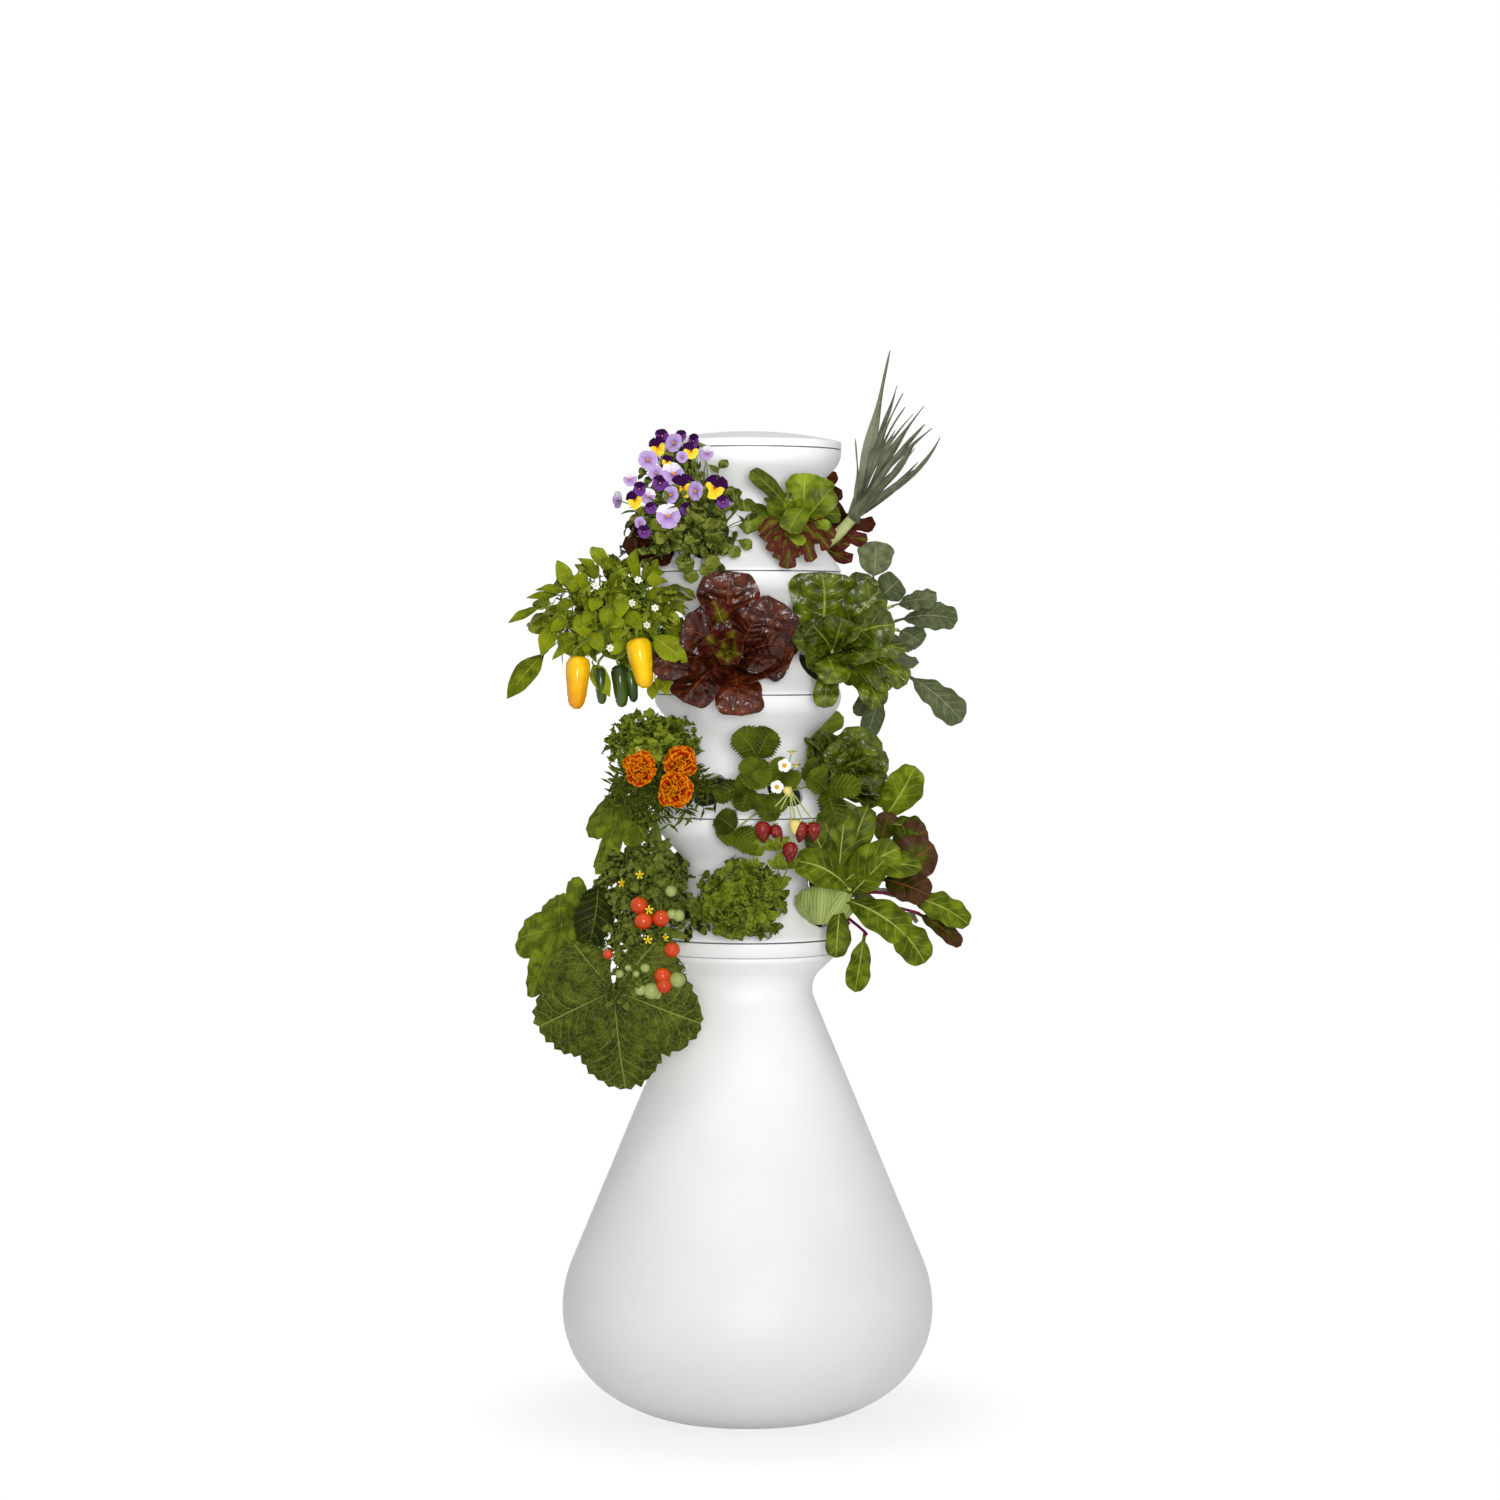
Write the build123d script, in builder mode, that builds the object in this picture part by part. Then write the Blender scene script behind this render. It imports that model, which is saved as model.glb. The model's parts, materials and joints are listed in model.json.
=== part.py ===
from build123d import *

import os
from dataclasses import dataclass
from math import asin, cos, degrees, hypot, radians, sin, sqrt, tan

# Hydroponic growing tower, in millimetres, +Z up, origin on the floor under the tower's axis.
# A flask-shaped water reservoir stands on the floor. A collar ring on its mouth carries a stack of
# hourglass growing tiers, which turns on the collar. A pump on the reservoir's floor lifts water up
# a riser in the axis to a spray cap under the lid. The water runs back down through a drip plate in
# every neck, past the net cups that hold the plants in the ports of each tier's shoulder.
# The front of the tower faces -Y, and azimuths are counted from the front towards +X.

# Growing tiers
TIER_COUNT = 4
TIER_PITCH = 170.0  # seam to seam
TIER_WALL = 3.5
RIM_RADIUS = 131.0  # outside of every seam
RIM_LAND = 4.0  # upright band above a seam
RIM_ROUND = 12.0
SHOULDER_ANGLE = 35.0  # planting shoulder, from upright
BOWL_ANGLE = 43.5  # bowl above the neck, from upright
BOWL_DROP = 15.4  # below the upper seam, where the bowl's slope would meet the rim
NECK_ROUND = 45.0
BOWL_ROUND = 36.0
SEAM_GAP = 1.8  # shadow line at every seam
SEAM_DEPTH = 1.5
SPIGOT_DEPTH = 8.0  # of the ring under each tier that drops into the rim below
SPIGOT_WALL = 3.5
SPIGOT_ROOT = 5.0  # height over which the ring joins the wall
SPIGOT_CLEARANCE = 1.3
STAGGER = 30.0  # turn of every second tier

# Planting ports, net cups and grow plugs
PORT_COUNT = 6
PORT_RADIUS = 27.0
PORT_HEIGHT = 40.0  # of the port's centre above its tier's lower seam
PORT_WALL = 2.5
PORT_DEPTH = 20.0  # of the port's sleeve
LEDGE_DEPTH = 11.0  # of the ledge that the cup's flange sits on
LEDGE_WIDTH = 3.5
CUP_CLEARANCE = 0.5
CUP_FLANGE = 2.0  # thickness
CUP_WALL = 1.6
CUP_DEPTH = 45.0
CUP_FOOT_RADIUS = 17.0
CUP_SLOTS = 6
CUP_SLOT_WIDTH = 5.0
PLUG_CLEARANCE = 0.3
PLUG_RISE = 4.0  # of the plug's top above the ledge

# Drip plates
PLATE_OVERHANG = 3.0  # beyond the neck's throat, so that the plate rests on the bowl
PLATE_THICKNESS = 2.5
PLATE_CLEARANCE = 0.05
DRIP_RADIUS = 3.0
DRIP_RINGS = ((36.0, 8), (60.0, 16))  # ring radius and holes in it
HUB_WALL = 3.0
HUB_HEIGHT = 9.5

# Lid
LID_RIM = 12.0
LID_RISE = 15.0  # of the dome above the rim
LID_EDGE = 2.0

# Reservoir
RESERVOIR_RADIUS = 260.0
RESERVOIR_WALL = 5.0
BELLY_HEIGHT = 146.0  # of the widest ring
BELLY_ROUND_OVER = 172.0
BELLY_ROUND_UNDER = 140.0
BELLY_TURN = 55.0  # of the under round, before the flatter sole
SOLE_ROUND = 220.0
CONE_ANGLE = 22.6  # from upright
THROAT_ROUND = 36.0
MOUTH_RADIUS = 123.0
MOUTH_HEIGHT = 645.5
MOUTH_LAND = 6.0
MOUTH_ROUND = 5.5
MOUTH_ANGLE = 47.2  # flare under the mouth, from upright

# Collar ring
COLLAR_HEIGHT = 20.5
COLLAR_LAND = 4.0
COLLAR_BULGE = 1.6
COLLAR_BORE = 112.0
COLLAR_SPIGOT = 3.0
COLLAR_CLEARANCE = 0.4
TURN_GAP = 0.3  # running gap under the turning tower
TURN_CLEARANCE = 0.6  # around the lowest tier's spigot

# Fill port, its plug and the cord grommet, on the back of the reservoir
FILL_HEIGHT = 430.0
FILL_RADIUS = 24.0
FILL_CLEARANCE = 0.4
FILL_DEPTH = 14.0
FILL_TAPER = 1.6
FILL_FLANGE = 4.0
FILL_FLANGE_BORDER = 5.0
PULL_LENGTH = 34.0
PULL_WIDTH = 7.0
PULL_HEIGHT = 14.0
PULL_ROUND = 3.0
PAD_BORDER = 8.0
PAD_RISE = 1.5
PAD_ROOT = 6.0
GROMMET_HEIGHT = 520.0
GROMMET_HOLE = 9.0
GROMMET_BORE = 4.5
GROMMET_BORDER = 3.5
GROMMET_LIP = 2.0

# Riser and spray cap
RISER_RADIUS = 13.35
RISER_WALL = 2.9
RISER_TOP_DROP = 30.0  # of the riser's top below the lid's seam
HUB_CLEARANCE = 0.8  # between the riser and the turning drip plates
COUPLER_WALL = 3.3
COUPLER_LENGTH = 40.0
COUPLER_CLEARANCE = 0.05
SPRAY_RADIUS = 58.0
SPRAY_WALL = 2.5
SPRAY_SKIRT = 16.0
SPRAY_SOCKET = 20.0
SPRAY_SLOTS = 16
SPRAY_SLOT_WIDTH = 5.0
SPRAY_SLOT_HEIGHT = 8.0

# Pump
PUMP_WIDTH = 76.0
PUMP_LENGTH = 62.0
PUMP_HEIGHT = 66.0
PUMP_ROUND = 8.0
FOOT_RADIUS = 8.0
FOOT_HEIGHT = 8.0
FOOT_INSET = 13.0
OUTLET_LENGTH = 18.0
OUTLET_BORE = 7.0
OUTLET_CLEARANCE = 0.05
PASSAGE_RADIUS = 5.0
PASSAGE_RISE = 12.0  # above the chamber's axis
CHAMBER_RADIUS = 20.0
CHAMBER_DEPTH = 16.0
SHAFT_RADIUS = 2.0
SHAFT_SEAT = 12.0
SHAFT_HEAD = 4.0
SHAFT_HEAD_HEIGHT = 1.5
SHAFT_CLEARANCE = 0.05
ROTOR_CLEARANCE = 1.5
ROTOR_END_GAP = 0.5
ROTOR_PLATE = 2.5
HUB_RADIUS = 6.0
VANE_COUNT = 6
VANE_THICKNESS = 2.0
STRAINER_MARGIN = 8.0
STRAINER_DEPTH = 14.0
STRAINER_WALL = 2.5
STRAINER_SLOTS = 7
STRAINER_SLOT_WIDTH = 3.5

# Plants
CROWN_RADIUS = 8.0
CROWN_HEIGHT = 14.0
ROOT_DEPTH = 5.0  # of a leaf's root below the crown's top
LEAF_THICKNESS = 2.0
STALK_WIDTH = 5.0


@dataclass
class Spray:
    """A flat fan of equal leaves, flowers or fruit, or with a droop one bent leaf, on a plant's crown.

    Reach and rise place the middle tip from the root, and the turn is counted from the port's
    azimuth. The droop is the midrib's bend on its way, and the stalk is the share of it that
    carries no blade. A head is a ball at the tip, or with a drop a fruit that hangs from it.
    """

    count: int
    spread: float
    turn: float
    reach: float
    rise: float
    droop: float
    width: float
    stalk: float = 0.2
    head: float = 0.0
    drop: float = 0.0


# Every plant's tier, port azimuth and sprays
PLANTS = {
    "viola": (4, -30, (
        Spray(5, 130, -4, 58, -20, 0, 36),
        Spray(4, 110, -12, 60, 40, 0, 36),
        Spray(3, 100, -26, 88, 44, 0, 5, head=13),
        Spray(4, 80, -16, 70, 96, 0, 5, head=13),
        Spray(3, 44, -22, 62, 134, 0, 5, head=13),
    )),
    "mixed_lettuce": (4, 30, (
        Spray(5, 140, 2, 70, -24, 0, 56),
        Spray(4, 120, -4, 72, 40, 0, 56),
        Spray(3, 70, -6, 46, 82, 0, 44),
    )),
    "leek": (4, 90, (
        Spray(1, 0, -8, 92, 262, 14, 20, 0),
        Spray(1, 0, 8, 138, 188, 40, 22, 0),
        Spray(1, 0, -22, 150, 154, 60, 22, 0),
        Spray(1, 0, 24, 154, 118, 80, 22, 0),
    )),
    "red_oak_lettuce": (4, 150, (
        Spray(5, 130, 0, 74, -20, 0, 52),
        Spray(4, 110, 0, 66, 48, 0, 50),
    )),
    "basil": (4, -150, (
        Spray(5, 130, 0, 60, -8, 0, 38),
        Spray(4, 100, 0, 48, 72, 0, 36),
    )),
    "dark_red_lettuce": (4, -90, (
        Spray(5, 120, 6, 72, -22, 0, 48),
        Spray(4, 90, 0, 62, 46, 0, 46),
    )),
    "pepper": (3, -60, (
        Spray(4, 100, -4, 76, 62, 0, 34, 0.4),
        Spray(3, 50, -12, 66, 136, 0, 30, 0.4),
        Spray(1, 0, -26, 232, 50, 40, 34, 0.5),
        Spray(1, 0, -30, 228, -40, 80, 44, 0.5),
        Spray(1, 0, 34, 84, -14, 100, 38),
        Spray(1, 0, 18, 96, 36, 90, 5, head=15, drop=68),
        Spray(1, 0, -12, 154, 16, 70, 5, head=15, drop=76),
    )),
    "red_romaine": (3, 0, (
        Spray(1, 0, -36, 66, 120, 60, 80),
        Spray(1, 0, 42, 78, 76, 80, 80),
        Spray(1, 0, -64, 116, -30, 90, 66),
        Spray(1, 0, -6, 80, -64, 130, 70),
        Spray(3, 110, -6, 62, 34, 0, 44),
    )),
    "green_romaine": (3, 60, (
        Spray(1, 0, -38, 66, 118, 60, 84),
        Spray(3, 90, 10, 92, 50, 0, 56),
        Spray(4, 120, -6, 80, 4, 0, 50),
        Spray(3, 80, -4, 66, -54, 0, 40),
    )),
    "kale": (3, 120, (
        Spray(1, 0, -42, 84, 148, 50, 56, 0.3),
        Spray(1, 0, -30, 188, 44, 70, 54, 0.4),
        Spray(1, 0, -36, 204, -78, 80, 52, 0.5),
        Spray(1, 0, -54, 110, -90, 130, 40, 0.4),
        Spray(2, 60, 24, 96, 24, 0, 52, 0.3),
    )),
    "butterhead": (3, 180, (
        Spray(5, 130, 0, 74, -20, 0, 54),
        Spray(4, 110, 0, 70, 48, 0, 52),
    )),
    "parsley": (3, -120, (
        Spray(5, 110, 0, 78, 8, 0, 32, 0.45),
        Spray(4, 90, 0, 58, 70, 0, 30, 0.45),
    )),
    "marigold": (2, -30, (
        Spray(4, 100, -20, 60, -40, 0, 30),
        Spray(4, 100, -28, 68, 16, 0, 32),
        Spray(3, 70, -30, 50, 76, 0, 34),
        Spray(1, 0, -52, 94, 30, 50, 6, head=19),
        Spray(1, 0, -6, 78, 36, 50, 6, head=19),
        Spray(1, 0, -4, 90, -10, 60, 6, head=19),
    )),
    "strawberry": (2, 30, (
        Spray(2, 44, -42, 64, 66, 0, 44, 0.5),
        Spray(4, 150, -4, 86, -12, 0, 42, 0.5),
        Spray(1, 0, -26, 68, -34, 130, 5, head=10, drop=20),
        Spray(1, 0, -8, 72, -60, 140, 5, head=10, drop=22),
        Spray(1, 0, 14, 70, -38, 130, 5, head=10, drop=20),
        Spray(2, 40, 6, 54, 60, 0, 5, head=8),
    )),
    "spinach": (2, 90, (
        Spray(5, 120, 0, 72, -16, 0, 50),
        Spray(4, 110, 0, 64, 44, 0, 50),
        Spray(2, 44, 0, 40, 76, 0, 40),
    )),
    "chard": (2, 150, (
        Spray(1, 0, -54, 172, 26, 70, 60, 0.3),
        Spray(1, 0, -28, 120, 70, 60, 56, 0.3),
        Spray(3, 80, 24, 96, 18, 0, 48, 0.3),
    )),
    "green_lettuce": (2, -150, (
        Spray(5, 120, 0, 74, -20, 0, 52),
        Spray(4, 110, 0, 68, 46, 0, 50),
    )),
    "squash": (2, -90, (
        Spray(1, 0, 50, 150, -414, 130, 190, 0.5),
        Spray(1, 0, 4, 190, -280, 120, 100, 0.5),
        Spray(1, 0, -34, 130, -70, 120, 76, 0.4),
        Spray(1, 0, 22, 128, -40, 110, 64, 0.4),
    )),
    "tomato": (1, -60, (
        Spray(4, 90, 28, 66, 10, 0, 30),
        Spray(3, 60, 22, 50, 66, 0, 28),
        Spray(3, 60, 30, 72, -62, 0, 28),
        Spray(2, 40, 24, 92, 6, 0, 5, head=12.5),
        Spray(2, 50, 30, 96, -44, 0, 5, head=12.5),
        Spray(1, 0, 26, 84, -96, 80, 5, head=12.5),
    )),
    "mint": (1, 0, (
        Spray(3, 80, 0, 44, -34, 0, 30),
        Spray(5, 130, 0, 54, 2, 0, 32),
        Spray(4, 110, 0, 46, 40, 0, 32),
        Spray(1, 0, 48, 70, 62, 20, 28),
    )),
    "bok_choy": (1, 60, (
        Spray(1, 0, -48, 86, 40, 90, 60),
        Spray(1, 0, 6, 126, 52, 80, 62),
        Spray(1, 0, -14, 132, -40, 110, 60),
        Spray(3, 80, 6, 60, 100, 0, 50),
        Spray(1, 0, 40, 90, 0, 90, 48),
    )),
    "purple_chard": (1, 120, (
        Spray(1, 0, -22, 148, 84, 60, 80, 0.3),
        Spray(1, 0, -36, 212, -48, 90, 60, 0.45),
        Spray(1, 0, -58, 100, -108, 150, 40, 0.4),
        Spray(2, 50, 26, 100, 30, 0, 52, 0.3),
    )),
    "curly_kale": (1, 180, (
        Spray(5, 120, 0, 88, 0, 0, 46, 0.35),
        Spray(3, 80, 0, 70, 64, 0, 44, 0.35),
    )),
    "small_romaine": (1, -120, (
        Spray(4, 100, -4, 74, -18, 0, 48),
        Spray(4, 90, -4, 62, 54, 0, 46),
    )),
}

# Places worked out from the driving dimensions
TOWER_FOOT = MOUTH_HEIGHT + COLLAR_HEIGHT
SEAMS = [TOWER_FOOT + level * TIER_PITCH for level in range(TIER_COUNT + 1)]
SPIGOT_RADIUS = RIM_RADIUS - TIER_WALL - SPIGOT_CLEARANCE
SHOULDER_SLOPE = tan(radians(SHOULDER_ANGLE))
BOWL_SLOPE = tan(radians(BOWL_ANGLE))
BOWL_CORNER = TIER_PITCH - BOWL_DROP
NECK_HEIGHT = (RIM_LAND * SHOULDER_SLOPE + BOWL_CORNER * BOWL_SLOPE) / (SHOULDER_SLOPE + BOWL_SLOPE)
NECK_RADIUS = RIM_RADIUS - (NECK_HEIGHT - RIM_LAND) * SHOULDER_SLOPE
PORT_REACH = RIM_RADIUS - (PORT_HEIGHT - RIM_LAND) * SHOULDER_SLOPE
CUP_TOP_RADIUS = PORT_RADIUS - LEDGE_WIDTH - CUP_CLEARANCE
RISER_BORE = RISER_RADIUS - RISER_WALL
RISER_TOP = SEAMS[-1] - RISER_TOP_DROP
CONE_SLOPE = tan(radians(CONE_ANGLE))
CONE_FOOT = (
    RESERVOIR_RADIUS - BELLY_ROUND_OVER * (1 - cos(radians(CONE_ANGLE))),
    BELLY_HEIGHT + BELLY_ROUND_OVER * sin(radians(CONE_ANGLE)),
)
PUMP_FOOT = RESERVOIR_WALL + FOOT_HEIGHT
PUMP_TOP = PUMP_FOOT + PUMP_HEIGHT
ROTOR_HEIGHT = PUMP_FOOT + PUMP_HEIGHT / 2
PUMP_FRONT = -PUMP_LENGTH / 2
CHAMBER_BACK = PUMP_FRONT + CHAMBER_DEPTH

os.makedirs("parts", exist_ok=True)


def save(part, name):
    """Labels a finished piece and writes it under its name."""
    part.label = name
    export_step(part, f"parts/{name}.step")


def outward(azimuth):
    """Level unit vector that points away from the axis at that azimuth."""
    return Vector(sin(radians(azimuth)), -cos(radians(azimuth)), 0)


def port_plane(azimuth, seam=0.0):
    """Plane across a port's mouth, its X axis level and its Z axis along the port, outwards."""
    level = outward(azimuth)
    axis = level * cos(radians(SHOULDER_ANGLE)) + Vector(0, 0, sin(radians(SHOULDER_ANGLE)))
    place = level * PORT_REACH + Vector(0, 0, seam + PORT_HEIGHT)
    return Plane(origin=place, x_dir=outward(azimuth + 90), z_dir=axis)


def tier_turn(number):
    """Azimuth of a tier's first port, tiers counted from one at the bottom."""
    return STAGGER * ((number + 1) % 2)


def port_planes(turn=0.0, seam=0.0):
    """Planes across all the ports of a tier."""
    return [port_plane(turn + index * 360 / PORT_COUNT, seam) for index in range(PORT_COUNT)]


def cone_plane(height):
    """Plane on the back of the reservoir's cone, its Z axis square to the skin."""
    reach = CONE_FOOT[0] - (height - CONE_FOOT[1]) * CONE_SLOPE
    axis = (0, cos(radians(CONE_ANGLE)), sin(radians(CONE_ANGLE)))
    return Plane(origin=(0, reach, height), x_dir=(-1, 0, 0), z_dir=axis)


def block(low, high, mode=Mode.ADD):
    """Rectangle between two corners of the sketch."""
    with Locations(((low[0] + high[0]) / 2, (low[1] + high[1]) / 2)):
        Rectangle(high[0] - low[0], high[1] - low[1], mode=mode)


def seam_foot():
    """Lower edge shared by the tiers and the lid: a spigot inside and a shadow line outside."""
    inner = SPIGOT_RADIUS - SPIGOT_WALL
    block((inner, -SPIGOT_DEPTH), (SPIGOT_RADIUS, 0))
    block((inner, 0), (RIM_RADIUS - SEAM_DEPTH, SPIGOT_ROOT))
    block((RIM_RADIUS - SEAM_DEPTH, 0), (RIM_RADIUS + SEAM_DEPTH, SEAM_GAP), mode=Mode.SUBTRACT)


def tube(outer, inner, low, high):
    """Upright pipe on the tower's axis."""
    with BuildPart() as pipe:
        with BuildSketch(Plane.XY.offset(low)):
            Circle(outer)
            Circle(inner, mode=Mode.SUBTRACT)
        extrude(amount=high - low)
    return pipe.part


# Tier: an hourglass shell with ports in its shoulder, drawn with its lower seam at Z = 0
TIER_CORNERS = (
    (RIM_RADIUS, 0),
    (RIM_RADIUS, RIM_LAND),
    (NECK_RADIUS, NECK_HEIGHT),
    (RIM_RADIUS, BOWL_CORNER),
    (RIM_RADIUS, TIER_PITCH),
)
TIER_ROUNDS = (RIM_ROUND, NECK_ROUND, BOWL_ROUND)

with BuildPart() as sleeves:
    with BuildSketch(Plane.XZ):
        with BuildLine():
            skin = FilletPolyline(*TIER_CORNERS, radius=TIER_ROUNDS)
            Polyline(skin @ 1, (0, TIER_PITCH), (0, 0), skin @ 0)
        make_face()
    revolve(axis=Axis.Z)
    with BuildSketch(*[plane.offset(-PORT_DEPTH) for plane in port_planes()]):
        Circle(PORT_RADIUS + PORT_WALL)
    extrude(amount=2 * PORT_DEPTH, mode=Mode.INTERSECT)

with BuildPart() as tier:
    with BuildSketch(Plane.XZ):
        with BuildLine():
            FilletPolyline(*TIER_CORNERS, radius=TIER_ROUNDS)
            offset(amount=TIER_WALL, side=Side.LEFT)
        make_face()
        seam_foot()
    revolve(axis=Axis.Z)
    add(sleeves.part)
    with BuildSketch(*[plane.offset(-LEDGE_DEPTH) for plane in port_planes()]):
        Circle(PORT_RADIUS)
    extrude(amount=LEDGE_DEPTH + PORT_DEPTH, mode=Mode.SUBTRACT)
    with BuildSketch(*[plane.offset(-PORT_DEPTH - TIER_WALL) for plane in port_planes()]):
        Circle(PORT_RADIUS - LEDGE_WIDTH)
    extrude(amount=PORT_DEPTH + TIER_WALL, mode=Mode.SUBTRACT)

# Net cup: a slotted basket, drawn with its flange's underside at Z = 0
with BuildPart() as net_cup:
    with BuildSketch(Plane.XZ):
        with BuildLine():
            Polyline((0, -CUP_DEPTH), (CUP_FOOT_RADIUS, -CUP_DEPTH), (CUP_TOP_RADIUS, 0))
            offset(amount=CUP_WALL, side=Side.LEFT)
        make_face()
        block((CUP_TOP_RADIUS - CUP_WALL, -CUP_FLANGE), (CUP_TOP_RADIUS - CUP_WALL / 2, CUP_FLANGE))
        block((CUP_TOP_RADIUS - CUP_WALL, 0), (PORT_RADIUS - CUP_CLEARANCE, CUP_FLANGE))
    revolve(axis=Axis.Z)
    with BuildSketch(Plane.XY.offset(-CUP_DEPTH)):
        with PolarLocations(CUP_FOOT_RADIUS, CUP_SLOTS):
            Rectangle(CUP_TOP_RADIUS, CUP_SLOT_WIDTH)
    extrude(amount=CUP_DEPTH - 4 * CUP_FLANGE, mode=Mode.SUBTRACT)

# Grow plug: the dark rooting block that fills a cup
PLUG_SLOPE = (CUP_TOP_RADIUS - CUP_FOOT_RADIUS) / CUP_DEPTH
PLUG_TOP_RADIUS = CUP_TOP_RADIUS - 2 * CUP_WALL - PLUG_CLEARANCE
PLUG_LENGTH = CUP_DEPTH - CUP_WALL

with BuildPart() as grow_plug:
    with BuildSketch(Plane.XZ):
        with BuildLine():
            Polyline(
                (0, -PLUG_LENGTH),
                (PLUG_TOP_RADIUS - PLUG_SLOPE * PLUG_LENGTH, -PLUG_LENGTH),
                (PLUG_TOP_RADIUS, 0),
                (PLUG_TOP_RADIUS, PLUG_RISE),
                (0, PLUG_RISE),
                close=True,
            )
        make_face()
    revolve(axis=Axis.Z)

# Drip plate: rests on the bowl just above the neck's throat, with a bush on it that runs round the riser
NECK_REACH = NECK_ROUND / cos(radians(SHOULDER_ANGLE + BOWL_ANGLE) / 2)
NECK_TILT = radians(BOWL_ANGLE - SHOULDER_ANGLE) / 2
NECK_CENTRE = (NECK_RADIUS + NECK_REACH * cos(NECK_TILT), NECK_HEIGHT - NECK_REACH * sin(NECK_TILT))
PLATE_SEAT = NECK_ROUND + TIER_WALL + PLATE_CLEARANCE
PLATE_RADIUS = NECK_CENTRE[0] - NECK_ROUND - TIER_WALL + PLATE_OVERHANG
PLATE_HEIGHT = NECK_CENTRE[1] + sqrt(PLATE_SEAT**2 - (NECK_CENTRE[0] - PLATE_RADIUS) ** 2)
HUB_BORE = RISER_RADIUS + HUB_CLEARANCE

with BuildPart() as drip_plate:
    with BuildSketch(Plane.XY.offset(PLATE_HEIGHT)):
        Circle(PLATE_RADIUS)
        Circle(HUB_BORE, mode=Mode.SUBTRACT)
        for ring_radius, holes in DRIP_RINGS:
            with PolarLocations(ring_radius, holes):
                Circle(DRIP_RADIUS, mode=Mode.SUBTRACT)
    extrude(amount=PLATE_THICKNESS)
    with BuildSketch(Plane.XY.offset(PLATE_HEIGHT + PLATE_THICKNESS + PLATE_CLEARANCE)):
        Circle(HUB_BORE + HUB_WALL)
        Circle(HUB_BORE, mode=Mode.SUBTRACT)
    extrude(amount=HUB_HEIGHT)

for number in range(1, TIER_COUNT + 1):
    seam = SEAMS[number - 1]
    stand = Location((0, 0, seam), (0, 0, tier_turn(number)))
    sockets = [plane.offset(-LEDGE_DEPTH).location for plane in port_planes(tier_turn(number), seam)]
    with BuildPart() as placed_tier:
        with Locations(stand):
            add(tier.part)
    save(placed_tier.part, f"tier_{number}")
    with BuildPart() as placed_plate:
        with Locations(stand):
            add(drip_plate.part)
    save(placed_plate.part, f"drip_plate_{number}")
    with BuildPart() as cups:
        with Locations(*sockets):
            add(net_cup.part)
    save(cups.part, f"net_cups_{number}")
    with BuildPart() as plugs:
        with Locations(*sockets):
            add(grow_plug.part)
    save(plugs.part, f"grow_plugs_{number}")

# Lid: a shallow dome on the same foot as the tiers
DOME_RADIUS = (RIM_RADIUS**2 + LID_RISE**2) / (2 * LID_RISE)
DOME_TURN = degrees(asin(RIM_RADIUS / DOME_RADIUS))

with BuildPart() as lid:
    with BuildSketch(Plane.XZ):
        with BuildLine():
            Line((RIM_RADIUS, 0), (RIM_RADIUS, LID_RIM))
            CenterArc((0, LID_RIM + LID_RISE - DOME_RADIUS), DOME_RADIUS, 90 - DOME_TURN, DOME_TURN)
            offset(amount=TIER_WALL, side=Side.LEFT)
        make_face()
        seam_foot()
    revolve(axis=Axis.Z)
    fillet(lid.edges().filter_by_position(Axis.Z, LID_RIM, LID_RIM).sort_by(SortBy.RADIUS)[-1], LID_EDGE)

save(lid.part.moved(Location((0, 0, SEAMS[-1]))), "lid")

# Reservoir: one skin from the sole to the flared mouth, with a fill port and a cord hole at the back
UNDER_CENTRE = (RESERVOIR_RADIUS - BELLY_ROUND_UNDER, BELLY_HEIGHT)
SOLE_STEP = SOLE_ROUND - BELLY_ROUND_UNDER
SOLE_CENTRE = (
    UNDER_CENTRE[0] - SOLE_STEP * cos(radians(BELLY_TURN)),
    UNDER_CENTRE[1] + SOLE_STEP * sin(radians(BELLY_TURN)),
)
SOLE_TURN = degrees(asin(SOLE_CENTRE[1] / SOLE_ROUND))
FLARE_SLOPE = tan(radians(MOUTH_ANGLE))
FLARE_TOP = MOUTH_HEIGHT - MOUTH_LAND
THROAT_HEIGHT = (CONE_FOOT[0] + CONE_FOOT[1] * CONE_SLOPE - MOUTH_RADIUS + FLARE_TOP * FLARE_SLOPE) / (
    CONE_SLOPE + FLARE_SLOPE
)
THROAT_RADIUS = MOUTH_RADIUS - (FLARE_TOP - THROAT_HEIGHT) * FLARE_SLOPE
FILL_PLANE = cone_plane(FILL_HEIGHT)
CORD_PLANE = cone_plane(GROMMET_HEIGHT)

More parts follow.
